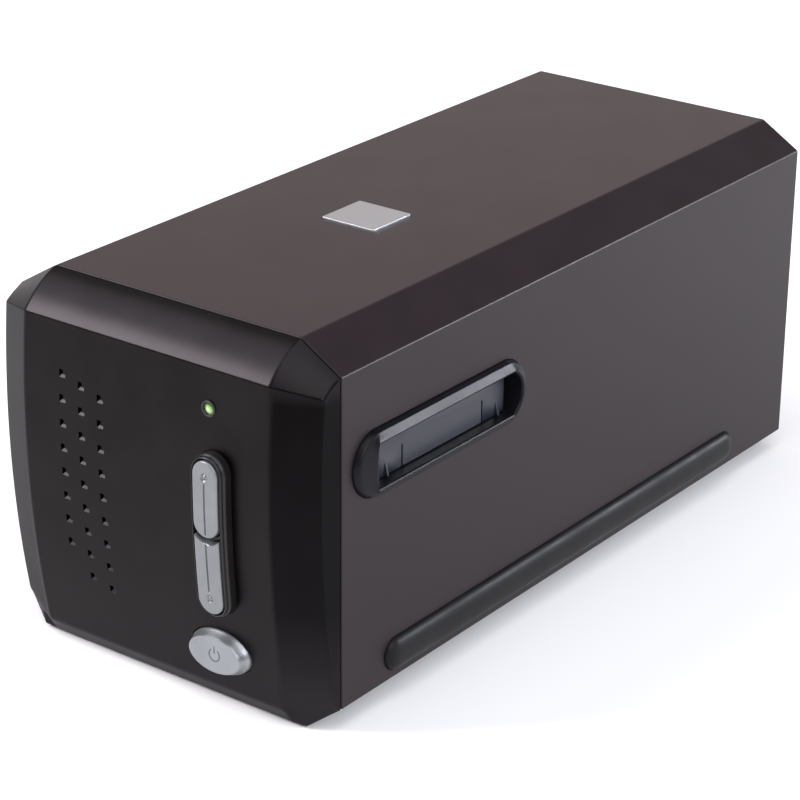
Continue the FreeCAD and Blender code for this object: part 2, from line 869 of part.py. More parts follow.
def make_front_bezel():
    """The faceted front: a thin shell with a locating lip that slips inside the cover."""
    shell = cut(bezel_loft(Measure.of(0), bezel_back),
                bezel_loft(size.bezel_wall, bezel_back + size.cut_overrun))
    lip_outer, _ = tunnel_outline(size.cover_wall + size.fit_gap, size.tray_side_height + size.fit_gap)
    lip_inset = size.cover_wall + size.fit_gap + size.lip_wall
    lip_inner, _ = tunnel_outline(lip_inset, size.tray_side_height + size.fit_gap)
    arch = [lip_outer[0], lip_outer[5], lip_outer[4], lip_outer[3], lip_outer[2], lip_outer[1]]
    arch += [lip_inner[1], lip_inner[2], lip_inner[3], lip_inner[4], lip_inner[5], lip_inner[0]]
    lip = prism("XZ_Plane", bezel_back - size.rim_depth / 2, size.lip_length, (arch, {}))
    rim_outer, _ = tunnel_outline(size.rim_inset, size.tray_side_height)
    rim_arch = [rim_outer[0], rim_outer[5], rim_outer[4], rim_outer[3], rim_outer[2], rim_outer[1]]
    rim_arch += [(lip_inner[1][0], size.tray_side_height), lip_inner[2], lip_inner[3]]
    rim_arch += [lip_inner[4], lip_inner[5], (lip_inner[0][0], size.tray_side_height)]
    rim = prism("XZ_Plane", bezel_back - size.rim_depth, size.rim_depth, (rim_arch, {}))
    bosses = []
    for height in (size.boss_height_low, size.boss_height_high):
        start = seam - face_depth(height) + size.bezel_wall / 2
        length = size.button_board_face_s + seam - start
        bosses.append(post("Y", (size.key_column - size.boss_offset, start, height),
                           size.boss_radius, length))
    collar_hole = prism("XZ_Plane", seam - size.bezel_depth - size.cut_overrun,
                        size.bezel_depth, collar_loop(size.fit_gap))
    power_hole = oval_bar(size.power_column, size.power_height,
                          size.power_half_width + size.power_gap,
                          size.power_half_height + size.power_gap,
                          seam - size.bezel_depth - size.cut_overrun, size.bezel_depth)
    lens_hole = cylinder("Y", (size.lens_column, seam - size.bezel_depth - size.cut_overrun,
                               size.lens_height),
                         size.lens_radius + size.fit_gap / 2, size.bezel_depth)
    whole = fuse(shell, lip, rim, *bosses)
    node("front_bezel", cut(whole, collar_hole, power_hole, lens_hole, *dimple_pins()))


def barrel_slab(proud, back_s):
    """A slab whose front follows the barrel face at a proud height, used to trim keys."""
    low = size.bezel_lift
    high = size.crease_height
    back = behind(back_s)
    points = [
        (back, high),
        (seam - face_depth(high) - proud, high),
        (seam - face_depth(low) - proud, low),
        (back, low),
    ]
    return prism("YZ_Plane", -half_width, size.cover_width, (points, {1: (size.barrel_radius, 1)}))


def septum_arc_height():
    return size.key_split_height + size.key_half_width


def lower_key_loop(side_gap, arc_radius):
    """The lower key's outline: round foot and a hollow top that follows the upper key."""
    half = size.key_half_width + side_gap
    foot = size.key_foot_height - side_gap + half
    shoulder_z = septum_arc_height() - (arc_radius * arc_radius - half * half).root()
    centre = size.key_column
    points = [
        (centre + half, foot),
        (centre + half, shoulder_z),
        (centre - half, shoulder_z),
        (centre - half, foot),
    ]
    return points, {1: (arc_radius, -1), 3: (half, 1, ("DistanceY", foot))}


def make_key_collar():
    """The raised oval collar round both keys, with a thin septum between them."""
    back_s = size.collar_back_s
    start = seam - size.bezel_depth - size.cut_overrun * 3
    length = seam + back_s - start
    block = prism("XZ_Plane", start, length, collar_loop(Measure.of(0)))
    upper = prism(
        "XZ_Plane", start, length + size.cut_overrun,
        stadium(size.key_column, size.key_half_width + size.key_gap,
                size.key_split_height - size.key_gap, size.key_top_height + size.key_gap),
    )
    lower_arc = size.key_half_width + size.key_gap + size.septum
    lower = prism("XZ_Plane", start, length + size.cut_overrun,
                  lower_key_loop(size.key_gap, lower_arc + size.fit_gap / 2))
    tube = cut(block, upper, lower)
    node("key_collar", common(tube, barrel_slab(size.collar_proud, back_s)))


def key_stem(x, height, cap_back):
    """The round stem that reaches from the back of a cap to just short of its switch."""
    end_s = size.button_board_face_s - size.switch_depth - size.key_travel - size.fit_gap
    start = cap_back - size.key_travel
    return cylinder("Y", (x, start, height), size.key_stem_radius, behind(end_s) - start)


def key_back_s():
    return -size.bezel_depth - size.key_proud + size.key_cap_depth


def upper_switch_height():
    return (size.key_top_height + size.key_split_height) / 2


def lower_switch_height():
    return (size.key_split_height + size.key_foot_height) / 2


def make_scan_keys():
    """Two caps, each with a stem behind it, whose fronts follow the barrel face."""
    start = seam - size.bezel_depth - size.cut_overrun * 3
    back_s = key_back_s()
    length = seam + back_s - start
    upper = prism("XZ_Plane", start, length,
                  stadium(size.key_column, size.key_half_width,
                          size.key_split_height, size.key_top_height))
    lower_arc = size.key_half_width + size.key_gap * 2 + size.septum
    lower = prism("XZ_Plane", start, length, lower_key_loop(Measure.of(0), lower_arc))
    upper_cap = common(upper, barrel_slab(size.key_proud, back_s))
    lower_cap = common(lower, barrel_slab(size.key_proud, back_s))
    cap_back = behind(back_s)
    upper_stem = key_stem(size.key_column, upper_switch_height(), cap_back)
    lower_stem = key_stem(size.key_column, lower_switch_height(), cap_back)
    node("upper_scan_key", fuse(upper_cap, upper_stem))
    node("lower_scan_key", fuse(lower_cap, lower_stem))


def make_power_button():
    """The silver oval button with its stem."""
    front = seam - face_depth(size.power_height) - size.power_proud
    cap = oval_bar(size.power_column, size.power_height, size.power_half_width,
                   size.power_half_height, front, size.power_cap_depth)
    stem = key_stem(size.power_column, size.power_height, front + size.power_cap_depth)
    node("power_button", fuse(cap, stem))


def make_status_lens():
    """The light pipe of the ready lamp with its thin ring on the face."""
    front = seam - face_depth(size.lens_height) - size.lens_ring_proud
    ring_back = seam - face_depth(size.lens_height - size.lens_ring_radius)
    ring = cylinder("Y", (size.lens_column, front, size.lens_height),
                    size.lens_ring_radius, ring_back - front)
    pipe = cylinder("Y", (size.lens_column, front, size.lens_height),
                    size.lens_radius, size.lens_length)
    node("status_lens", fuse(ring, pipe))


def make_button_board():
    face = behind(size.button_board_face_s)
    board = box(
        spread(size.key_column, size.button_board_half_width),
        (face, face + size.board_thickness),
        (size.button_board_foot, size.button_board_top),
    )
    holes = []
    for height in (size.boss_height_low, size.boss_height_high):
        holes.append(post("Y", (size.key_column - size.boss_offset, face - size.cut_overrun, height),
                          size.screw_radius, size.cut_overrun * 3))
    node("button_board", cut(board, *holes))
    switches = []
    centres = [
        (size.key_column, upper_switch_height()),
        (size.key_column, lower_switch_height()),
        (size.power_column, size.power_height),
    ]
    for x, z in centres:
        case = box(spread(x, size.switch_size / 2),
                   (face - size.switch_depth * switch_case_share, face),
                   spread(z, size.switch_size / 2))
        plunger = post("Y", (x, face - size.switch_depth, z),
                       size.key_stem_radius, size.switch_depth)
        switches.append(fuse(case, plunger))
    node("tact_switches", group(*switches))


def make_badge_plate():
    """A bare square plate let into the top."""
    top = size.overall_height + size.badge_proud
    node("badge_plate", box(
        spread(Measure.of(0), size.badge_size_x / 2),
        spread(behind(size.badge_centre_s), size.badge_size_y / 2),
        (top - size.badge_thickness, top),
    ))


def strip_outline(margin):
    """The grip strip's long rounded outline on the side."""
    half = size.strip_height / 2 + margin
    middle = size.strip_foot + size.strip_height / 2
    front = behind(size.strip_front_s) + size.strip_height / 2
    rear = behind(size.strip_rear_s) - size.strip_height / 2
    points = [
        (front, middle - half),
        (rear, middle - half),
        (rear, middle + half),
        (front, middle + half),
    ]
    return points, {1: end_arc(rear, half, half, 1), 3: end_arc(front, half, half, -1)}


def make_side_strip(side, name):
    """A rubber strip with a crowned face, seated in a shallow groove of the side."""
    inner = half_width - size.strip_seat
    depth = size.strip_seat + size.strip_proud
    start = inner if side > 0 else -half_width - size.strip_proud
    bar = prism("YZ_Plane", start, depth, strip_outline(Measure.of(0)))
    crown = size.strip_crown_radius
    axis_x = side * (half_width + size.strip_proud - crown)
    round_bar = cylinder("Y", (axis_x, behind(size.strip_front_s), size.strip_foot + size.strip_height / 2),
                         crown, size.strip_rear_s - size.strip_front_s)
    node(name, common(bar, round_bar))


def tray_profile(inset, top):
    """The tray's bevelled cross-section as a solid outline."""
    foot_half = half_width - size.corner_foot_inset - inset
    side = half_width - size.cover_wall - size.fit_gap - inset
    return [
        (-foot_half, size.tray_lift + inset),
        (foot_half, size.tray_lift + inset),
        (side, size.skirt_lift + inset * tray_foot_share),
        (side, top),
        (-side, top),
        (-side, size.skirt_lift + inset * tray_foot_share),
    ]


def tray_boss_places():
    return [
        (side * size.tray_boss_x, behind(s))
        for s in (size.tray_boss_front_s, size.tray_boss_rear_s)
        for side in (-1, 1)
    ]


def foot_places():
    return [
        (side * size.foot_x, behind(size.foot_rear_s if row else size.foot_front_s))
        for side, row in FOOT_CORNERS
    ]


def make_base_tray():
    """The bottom tray with bevelled flanks, screw bosses and foot recesses."""
    start = seam + size.tray_end_gap
    length = size.cover_length - size.panel_thickness - size.tray_end_gap - size.fit_gap
    outer = prism("XZ_Plane", start, length, (tray_profile(Measure.of(0), size.tray_side_height), {}))
    hollow = prism("XZ_Plane", start + size.tray_side_wall, length - size.tray_side_wall * 2,
                   (tray_profile(size.tray_wall, size.tray_side_height + size.cut_overrun), {}))
    shell = cut(outer, hollow)
    bosses = []
    drills = []
    for x, y in tray_boss_places():
        bosses.append(post("Z", (x, y, board_back - size.tray_wall / 2),
                               size.tray_boss_radius,
                               size.chassis_lift - board_back + size.tray_wall / 2))
        drills.append(post("Z", (x, y, size.tray_lift - size.cut_overrun),
                               size.screw_radius + size.screw_gap,
                               size.chassis_lift + size.cut_overrun))
        drills.append(post("Z", (x, y, size.tray_lift - size.cut_overrun),
                               size.screw_head_radius + size.screw_gap,
                               size.screw_head_height + size.screw_gap + size.cut_overrun))
    recesses = []
    for x, y in foot_places():
        recesses.append(cylinder("Z", (x, y, size.tray_lift - size.cut_overrun),
                                 size.foot_radius + size.screw_gap,
                                 size.foot_recess + size.cut_overrun))
    node("base_tray", cut(fuse(shell, *bosses), *drills, *recesses))


def make_rubber_feet():
    feet = []
    for x, y in foot_places():
        feet.append(cylinder("Z", (x, y, Measure.of(0)), size.foot_radius,
                             size.tray_lift + size.foot_recess))
    node("rubber_feet", group(*feet))


def make_case_screws():
    """The screws that hold the chassis down on the tray's bosses."""
    screws = []
    for x, y in tray_boss_places():
        head = post("Z", (x, y, size.tray_lift), size.screw_head_radius, size.screw_head_height)
        shank = post("Z", (x, y, size.tray_lift), size.screw_radius, size.screw_length)
        screws.append(fuse(head, shank))
    node("case_screws", group(*screws))


def standoff_places():
    return [
        (side * size.standoff_x, height)
        for height in (size.standoff_low, size.standoff_high)
        for side in (-1, 1)
    ]


def make_rear_panel():
    """The flat panel that closes the tunnel, with socket windows and standoffs."""
    start = rear_face - size.panel_thickness
    outline, _ = tunnel_outline(size.cover_wall + size.fit_gap, size.skirt_lift)
    foot_half = half_width - size.corner_foot_inset
    points = [(-foot_half, size.tray_lift), (foot_half, size.tray_lift)] + outline[1:] + [outline[0]]
    panel = prism("XZ_Plane", start, size.panel_thickness, (points, {}))
    posts = []
    holes = []
    board_rear = behind(size.main_board_s) + size.board_thickness
    for x, z in standoff_places():
        posts.append(post("Y", (x, board_rear, z), size.standoff_radius,
                              start - board_rear + size.panel_thickness / 2))
        holes.append(post("Y", (x, board_rear - size.cut_overrun, z),
                              size.screw_radius + size.screw_gap, size.screw_length))
    usb_window = box(
        spread(size.usb_centre, size.usb_width / 2 + size.fit_gap),
        (start - size.cut_overrun, rear_face + size.cut_overrun),
        (size.usb_foot - size.fit_gap, size.usb_foot + size.usb_height + size.fit_gap),
    )
    jack_window = box(
        spread(size.jack_centre, size.jack_size / 2 + size.fit_gap),
        (start - size.cut_overrun, rear_face + size.cut_overrun),
        (size.usb_foot - size.fit_gap, size.usb_foot + size.jack_size + size.fit_gap),
    )
    vents = []
    for step in VENT_STEPS:
        vents.append(box(
            spread(size.vent_pitch * step, size.vent_width / 2),
            (start - size.cut_overrun, rear_face + size.cut_overrun),
            (size.vent_foot, size.vent_top),
        ))
    node("rear_panel", cut(fuse(panel, *posts), usb_window, jack_window, *holes, *vents))


def make_main_board():
    face = behind(size.main_board_s)
    board = box(
        spread(Measure.of(0), size.main_board_half_width),
        (face, face + size.board_thickness),
        (size.main_board_foot, size.main_board_top),
    )
    holes = []
    for x, z in standoff_places():
        holes.append(post("Y", (x, face - size.cut_overrun, z),
                              size.screw_radius + size.screw_gap, size.cut_overrun * 3))
    node("main_board", cut(board, *holes))
    screws = []
    for x, z in standoff_places():
        head = post("Y", (x, face - size.screw_head_height, z),
                        size.screw_head_radius, size.screw_head_height)
        shank = post("Y", (x, face - size.screw_head_height, z), size.screw_radius,
                         size.screw_length - size.screw_gap * 4)
        screws.append(fuse(head, shank))
    node("board_screws", group(*screws))


def make_sockets():
    """The square data socket and the round power jack on the main board."""
    board_rear = behind(size.main_board_s) + size.board_thickness
    mouth = rear_face - size.socket_set_in
    usb_case = box(spread(size.usb_centre, size.usb_width / 2), (board_rear, mouth),
                   (size.usb_foot, size.usb_foot + size.usb_height))
    usb_middle = size.usb_foot + size.usb_height / 2
    hollow = box(spread(size.usb_centre, size.usb_mouth_width / 2),
                 (mouth - size.usb_mouth_depth, mouth + size.cut_overrun),
                 spread(usb_middle, size.usb_mouth_height / 2))
    tongue = box(spread(size.usb_centre, size.usb_tongue_width / 2),
                 (mouth - size.usb_mouth_depth - size.cut_overrun / 2, mouth - size.socket_set_in),
                 spread(usb_middle, size.usb_tongue_height / 2))
    node("usb_socket", fuse(cut(usb_case, hollow), tongue))
    jack_case = box(spread(size.jack_centre, size.jack_size / 2), (board_rear, mouth),
                    (size.usb_foot, size.usb_foot + size.jack_size))
    jack_middle = size.usb_foot + size.jack_size / 2
    bore = cylinder("Y", (size.jack_centre, mouth - size.jack_depth, jack_middle),
                    size.jack_bore_radius, size.jack_depth + size.cut_overrun)
    pin = cylinder("Y", (size.jack_centre, mouth - size.jack_depth - size.cut_overrun / 2, jack_middle),
                   size.jack_pin_radius, size.jack_depth + size.cut_overrun / 2 - size.socket_set_in)
    node("power_jack", fuse(cut(jack_case, bore), pin))


def make_chassis():
    """The sheet frame: floor, two end plates and two walls that carry the film channel."""
    sheet = size.chassis_sheet
    low = size.chassis_lift
    half = size.chassis_half_width
    front = behind(size.chassis_front_s)
    rear = behind(size.chassis_rear_s)
    floor = box(spread(Measure.of(0), half), (front, rear), (low, low + sheet))
    front_plate = box(spread(Measure.of(0), half), (front, front + sheet),
                      (low, size.chassis_front_height))
    rear_plate = box(spread(Measure.of(0), half), (rear - sheet, rear),
                     (low, size.chassis_rear_height))
    walls = []
    for side in (-1, 1):
        x = (half - sheet, half) if side > 0 else (-half, sheet - half)
        walls.append(box(x, (behind(size.chassis_wall_front_s), behind(size.chassis_wall_rear_s)),
                         (low, size.slot_floor - size.channel_wall)))
    drills = []
    for side in (-1, 1):
        drills.append(cylinder("Y", (side * size.rod_x, front - size.cut_overrun, size.rod_height),
                               size.rod_radius + size.bush_gap,
                               rear - front + size.cut_overrun * 2))
    drills.append(post("Y", (Measure.of(0), front - size.cut_overrun, size.screw_height),
                       size.bearing_radius + size.bush_gap, size.cut_overrun * 3))
    drills.append(post("Y", (Measure.of(0), rear - size.cut_overrun * 2, size.screw_height),
                       size.bearing_radius + size.bush_gap, size.cut_overrun * 4))
    for x, y in tray_boss_places():
        drills.append(post("Z", (x, y, low - size.cut_overrun),
                           size.screw_radius + size.screw_gap, size.cut_overrun * 3))
    node("chassis_frame", cut(fuse(floor, front_plate, rear_plate, *walls), *drills))


def make_film_channel():
    """The duct that the film holder slides through, with a window above and one below."""
    half = half_width - size.neck_reach - size.channel_end_gap
    front = behind(size.slot_front_s) - size.channel_ease
    rear = behind(size.slot_rear_s) + size.slot_bulge + size.channel_ease
    wall = size.channel_wall
    outer = box(spread(Measure.of(0), half), (front - wall, rear + wall),
                (size.slot_floor - wall, slot_ceiling + wall))
    hollow = box(spread(Measure.of(0), half + size.cut_overrun), (front, rear),
                 (size.slot_floor, slot_ceiling))
    window = box(spread(Measure.of(0), size.window_half_width),
                 (behind(size.window_front_s), behind(size.window_rear_s)),
                 (size.slot_floor - size.cut_overrun * 2, slot_ceiling + size.cut_overrun * 2))
    spring_slot = box(
        spread(size.detent_x, size.detent_bump * 2),
        (front - wall - size.cut_overrun, front + size.cut_overrun),
        spread(slot_middle, size.detent_height / 2 + size.fit_gap),
    )
    node("film_channel", cut(outer, hollow, window, spring_slot))
    face = front - wall
    leaf_points = [
        (size.detent_x - size.detent_length / 2, face),
        (size.detent_x - size.detent_bump, face),
        (size.detent_x, face + wall + size.detent_bump / 2),
        (size.detent_x + size.detent_bump, face),
        (size.detent_x + size.detent_length / 2, face),
        (size.detent_x + size.detent_length / 2, face - size.detent_sheet),
        (size.detent_x + size.detent_bump, face - size.detent_sheet),
        (size.detent_x, face + wall + size.detent_bump / 2 - size.detent_sheet * 2),
        (size.detent_x - size.detent_bump, face - size.detent_sheet),
        (size.detent_x - size.detent_length / 2, face - size.detent_sheet),
    ]
    node("detent_spring", prism("XY_Plane", slot_middle - size.detent_height / 2,
                                size.detent_height, (leaf_points, {})))


def make_guides():
    """The two rods, the lead screw, its front bearing and the motor behind."""
    front = behind(size.chassis_front_s)
    rear = behind(size.chassis_rear_s)
    rods = []
    for side in (-1, 1):
        rods.append(cylinder("Y", (side * size.rod_x, front, size.rod_height),
                             size.rod_radius, rear - front))
    node("guide_rods", group(*rods))
    lead_start = behind(size.lead_front_s)
    node("lead_screw", cylinder("Y", (Measure.of(0), lead_start, size.screw_height),
                                size.lead_radius, size.lead_rear_s - size.lead_front_s))
    barrel = post("Y", (Measure.of(0), front, size.screw_height),
                  size.bearing_radius, size.bearing_length)
    flange = post("Y", (Measure.of(0), front - size.chassis_sheet, size.screw_height),
                  size.bearing_flange_radius, size.chassis_sheet)
    bore = cylinder("Y", (Measure.of(0), front - size.cut_overrun * 2, size.screw_height),
                    size.lead_radius + size.running_gap, size.bearing_length + size.cut_overrun * 4)
    node("screw_bearing", cut(fuse(barrel, flange), bore))
    can = cylinder("Y", (Measure.of(0), rear, size.screw_height), size.motor_radius, size.motor_length)
    flange_plate = box(spread(Measure.of(0), size.motor_flange_half_width),
                       (rear, rear + size.motor_flange_sheet),
                       spread(size.screw_height, size.motor_radius * motor_flange_share))
    motor_bore = cylinder("Y", (Measure.of(0), rear - size.cut_overrun, size.screw_height),
                          size.lead_radius + size.running_gap,
                          size.lead_rear_s - size.chassis_rear_s + size.cut_overrun + size.lead_end_gap)
    node("stepper_motor", cut(fuse(can, flange_plate), motor_bore))


def make_home_sensor():
    """The forked light gate that marks the carriage's home place."""
    foot = size.chassis_lift + size.chassis_sheet
    start = behind(size.chassis_front_s) + size.chassis_sheet
    block = box((size.home_sensor_x, size.home_sensor_x + size.home_sensor_width),
                (start, start + size.home_sensor_depth),
                (foot, foot + size.home_sensor_height))
    middle = size.home_sensor_x + size.home_sensor_width / 2
    top = foot + size.home_sensor_height
    slot = box(spread(middle, size.home_sensor_slot / 2),
               (start - size.cut_overrun, start + size.home_sensor_depth + size.cut_overrun),
               (foot + size.home_sensor_height * sensor_yoke_share, top + size.cut_overrun))
    node("home_sensor", cut(block, slot))


def trough_section():
    """The U-shaped cross-section of the optical bench."""
    half = size.trough_half_width
    inner = half - size.trough_wall
    floor = size.trough_floor + size.trough_floor_thickness
    points = [
        (-half, size.trough_floor),
        (half, size.trough_floor),
        (half, size.trough_top),
        (inner, size.trough_top),
        (inner, floor),
        (-inner, floor),
        (-inner, size.trough_top),
        (-half, size.trough_top),
    ]
    return points, {}


def mirror_wedge():
    """The corner of the sloping mirror seat in side view, low and in front."""
    floor = size.trough_floor + size.trough_floor_thickness
    lean = size.mirror_thickness * diagonal_share
    reach = size.scan_line_s + size.axis_height - lean * 2 - floor
    return floor, reach


def bush_places():
    return [
        (-size.rod_x, size.bush_front_s),
        (-size.rod_x, size.bush_rear_s),
        (size.rod_x, size.bush_right_s),
    ]


def make_scan_carriage():
    """The optical bench, its upright and the arm that reaches over the film channel."""
    bench = prism("XZ_Plane", behind(size.trough_front_s),
                  size.trough_rear_s - size.trough_front_s, trough_section())
    floor, reach = mirror_wedge()
    front = behind(size.trough_front_s)
    wedge_points = [
        (front, floor),
        (behind(reach), floor),
        (front, floor + behind(reach) - front),
    ]
    inner_half = size.trough_half_width - size.trough_wall
    wedge = prism("YZ_Plane", -inner_half, inner_half * 2, (wedge_points, {}))
    upright = box(spread(Measure.of(0), size.upright_half_width),
                  (behind(size.upright_s), behind(size.upright_s) + size.upright_thickness),
                  (size.upright_foot, size.arm_floor + size.arm_thickness))
    arm = box(spread(Measure.of(0), size.arm_half_width),
              (behind(size.arm_front_s), behind(size.upright_s) + size.upright_thickness),
              (size.arm_floor, size.arm_floor + size.arm_thickness))
    bosses = []
    bores = []
    boss_radius = size.boss_bush_radius + size.boss_wall
    for x, start_s in bush_places():
        start = (x, behind(start_s), size.rod_height)
        bosses.append(post("Y", start, boss_radius, size.bush_length))
        web_x = (size.trough_half_width * boss_web_share, size.rod_x)
        if x.value < 0:
            web_x = (-size.rod_x, -size.trough_half_width * boss_web_share)
        bosses.append(box(web_x, (behind(start_s), behind(start_s) + size.bush_length),
                          (size.rod_height, size.trough_floor + size.trough_floor_thickness)))
        bores.append(post("Y", (x, behind(start_s) - size.cut_overrun, size.rod_height),
                          size.boss_bush_radius + size.bush_gap,
                          size.bush_length + size.cut_overrun * 2))
    nut_block = box(spread(Measure.of(0), size.nut_block_half_width),
                    (behind(size.nut_front_s), behind(size.nut_front_s) + size.nut_length),
                    (size.screw_height - size.nut_radius - size.boss_wall, size.trough_floor))
    bores.append(post("Y", (Measure.of(0), behind(size.nut_front_s) - size.cut_overrun,
                            size.screw_height),
                      size.nut_radius + size.bush_gap, size.nut_length + size.cut_overrun * 2))
    lens_block = box(spread(Measure.of(0), size.block_half_width),
                     (behind(size.lens_front_s) + size.clamp_length / 2,
                      behind(size.lens_front_s) + size.lens_barrel_length - size.clamp_length / 2),
                     (floor, size.axis_height))
    lens_seat = cylinder("Y", (Measure.of(0), behind(size.lens_front_s) - size.cut_overrun,
                               size.axis_height),
                         size.lens_barrel_radius + size.bush_gap,
                         size.lens_barrel_length + size.cut_overrun * 2)
    posts = []
    for side in (-1, 1):
        post_x = spread(side * (size.sensor_board_half_width - size.boss_wall * sensor_post_share),
                        size.boss_wall)
        posts.append(box(post_x,
                         (behind(size.sensor_board_s) + size.board_thickness,
                          behind(size.trough_rear_s) - size.trough_wall),
                         (floor, size.trough_top)))
    flag = box((size.flag_x, size.flag_x + size.flag_thickness),
               (behind(size.flag_front_s), behind(size.trough_front_s) + size.boss_wall * 2),
               (size.flag_foot, size.trough_floor + size.trough_floor_thickness))
    solid = fuse(bench, wedge, upright, arm, *bosses, nut_block, lens_block, *posts, flag)
    node("scan_carriage", cut(solid, *bores, lens_seat))


def make_carriage_pieces():
    """What rides on the carriage: bushings, nut, mirror, lens, sensor and lamp."""
    bushes = []
    for x, start_s in bush_places():
        sleeve = post("Y", (x, behind(start_s), size.rod_height),
                      size.boss_bush_radius, size.bush_length)
        bore = cylinder("Y", (x, behind(start_s) - size.cut_overrun, size.rod_height),
                        size.rod_radius + size.rod_gap, size.bush_length + size.cut_overrun * 2)
        bushes.append(cut(sleeve, bore))
    node("rod_bushings", group(*bushes))
    nut = post("Y", (Measure.of(0), behind(size.nut_front_s), size.screw_height),
               size.nut_radius, size.nut_length)
    nut_bore = cylinder("Y", (Measure.of(0), behind(size.nut_front_s) - size.cut_overrun,
                              size.screw_height),
                        size.lead_radius + size.running_gap, size.nut_length + size.cut_overrun * 2)
    node("drive_nut", cut(nut, nut_bore))
    make_mirror()
    make_lens()
    make_sensor()
    make_lamp()


def make_mirror():
    """The flat mirror that turns the light from straight down to straight back."""
    floor, reach = mirror_wedge()
    lean = size.mirror_thickness * diagonal_share
    low_y = behind(reach) - size.boss_wall * mirror_lip_share
    low_z = floor + size.boss_wall * mirror_lip_share
    run = size.mirror_reach
    points = [
        (low_y, low_z),
        (low_y + lean, low_z + lean),
        (low_y + lean - run, low_z + lean + run),
        (low_y - run, low_z + run),
    ]
    node("fold_mirror", prism("YZ_Plane", -size.mirror_half_width, size.mirror_half_width * 2,
                              (points, {})))


def make_lens():
    """The lens barrel in its seat, two glasses in its bore and the strap over it."""
    front = behind(size.lens_front_s)
    axis = (Measure.of(0), front, size.axis_height)
    barrel = cylinder("Y", axis, size.lens_barrel_radius, size.lens_barrel_length)
    bore = cylinder("Y", (Measure.of(0), front - size.cut_overrun, size.axis_height),
                    size.lens_bore_radius, size.lens_barrel_length + size.cut_overrun * 2)
    node("lens_barrel", cut(barrel, bore))
    glasses = []
    last = size.lens_barrel_length - size.glass_inset - size.glass_thickness
    for inset in (size.glass_inset, last):
        glasses.append(cylinder("Y", (Measure.of(0), front + inset, size.axis_height),
                                size.lens_bore_radius - size.bush_gap, size.glass_thickness))
    node("lens_glass", group(*glasses))
    strap_start = front + size.lens_barrel_length / 2 - size.clamp_length / 2
    hoop = cylinder("Y", (Measure.of(0), strap_start, size.axis_height),
                    size.lens_barrel_radius + size.clamp_sheet, size.clamp_length)
    gap = cylinder("Y", (Measure.of(0), strap_start - size.cut_overrun, size.axis_height),
                   size.lens_barrel_radius + size.bush_gap, size.clamp_length + size.cut_overrun * 2)
    upper_half = box(spread(Measure.of(0), size.block_half_width),
                     (strap_start, strap_start + size.clamp_length),
                     (size.axis_height, size.axis_height + size.lens_barrel_radius * 2))
    feet = box(spread(Measure.of(0), size.block_half_width),
               (strap_start, strap_start + size.clamp_length),
               (size.axis_height, size.axis_height + size.clamp_sheet))
    node("lens_clamp", cut(fuse(common(hoop, upper_half), feet), gap))


def make_sensor():
    """The line sensor and its board at the rear of the bench."""
    face = behind(size.sensor_board_s)
    floor = size.trough_floor + size.trough_floor_thickness
    node("sensor_board", box(spread(Measure.of(0), size.sensor_board_half_width),
                             (face, face + size.board_thickness),
                             (floor, size.trough_top - size.boss_wall)))
    node("line_sensor", box(spread(Measure.of(0), size.line_sensor_half_width),
                            (face - size.line_sensor_depth, face),
                            spread(size.axis_height, size.line_sensor_height / 2)))


def make_lamp():
    """The lamp housing under the arm, its light board and the diffuser."""
    middle = behind(size.scan_line_s)
    wall = size.lamp_wall
    shell = box(spread(Measure.of(0), size.lamp_half_width), spread(middle, size.lamp_half_depth),
                (size.lamp_floor, size.arm_floor))
    hollow = box(spread(Measure.of(0), size.lamp_half_width - wall),
                 spread(middle, size.lamp_half_depth - wall),
                 (size.lamp_floor - size.cut_overrun, size.arm_floor - wall))
    node("lamp_housing", cut(shell, hollow))
    inner_x = spread(Measure.of(0), size.lamp_half_width - wall)
    inner_y = spread(middle, size.lamp_half_depth - wall)
    node("light_diffuser", box(inner_x, inner_y,
                               (size.lamp_floor, size.lamp_floor + size.diffuser_thickness)))
    top = size.arm_floor - wall
    node("lamp_board", box(inner_x, inner_y, (top - size.lamp_board_thickness, top)))


def check_document():
    """Stops on any failed object or any sub-part without a sound solid."""
    for obj in document.Objects:
        for state in obj.State:
            if state in ("Invalid", "Error"):
                raise RuntimeError(f"{obj.Name} ({obj.Label}) is {state}")
    for name, obj in nodes:
        shape = obj.Shape
        if shape.isNull() or not shape.isValid() or not shape.Solids:
            raise RuntimeError(f"{name} has no sound solid")


def export_parts():
    os.makedirs("parts", exist_ok=True)
    for name, obj in nodes:
        obj.Shape.exportStep(os.path.join("parts", f"{name}.step"))
        bounds = obj.Shape.BoundBox
        print(f"{name}: {len(obj.Shape.Solids)} solid(s), {obj.Shape.Volume:.0f} mm3, "
              f"x {bounds.XMin:.1f} {bounds.XMax:.1f} y {bounds.YMin:.1f} {bounds.YMax:.1f} "
              f"z {bounds.ZMin:.1f} {bounds.ZMax:.1f}")


def build():
    make_housing_cover()
    make_front_bezel()
    make_base_tray()
    make_rear_panel()
    make_badge_plate()
    for side, hand in ((1, "right"), (-1, "left")):
        make_slot_bezel(side, f"slot_bezel_{hand}")
        make_dust_door(side, f"dust_door_{hand}")
        make_door_pin(side, f"door_pin_{hand}")
        make_side_strip(side, f"side_strip_{hand}")
    make_key_collar()
    make_scan_keys()
    make_power_button()
    make_status_lens()
    make_button_board()
    make_rubber_feet()
    make_case_screws()
    make_main_board()
    make_sockets()
    make_chassis()
    make_film_channel()
    make_guides()
    make_home_sensor()
    make_scan_carriage()
    make_carriage_pieces()
    document.recompute()
    check_document()
    export_parts()


build()
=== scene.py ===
import logging
import math
from dataclasses import dataclass, field
from enum import Enum
from typing import Sequence

import bmesh
import bpy
import numpy as np
from mathutils import Matrix, Vector


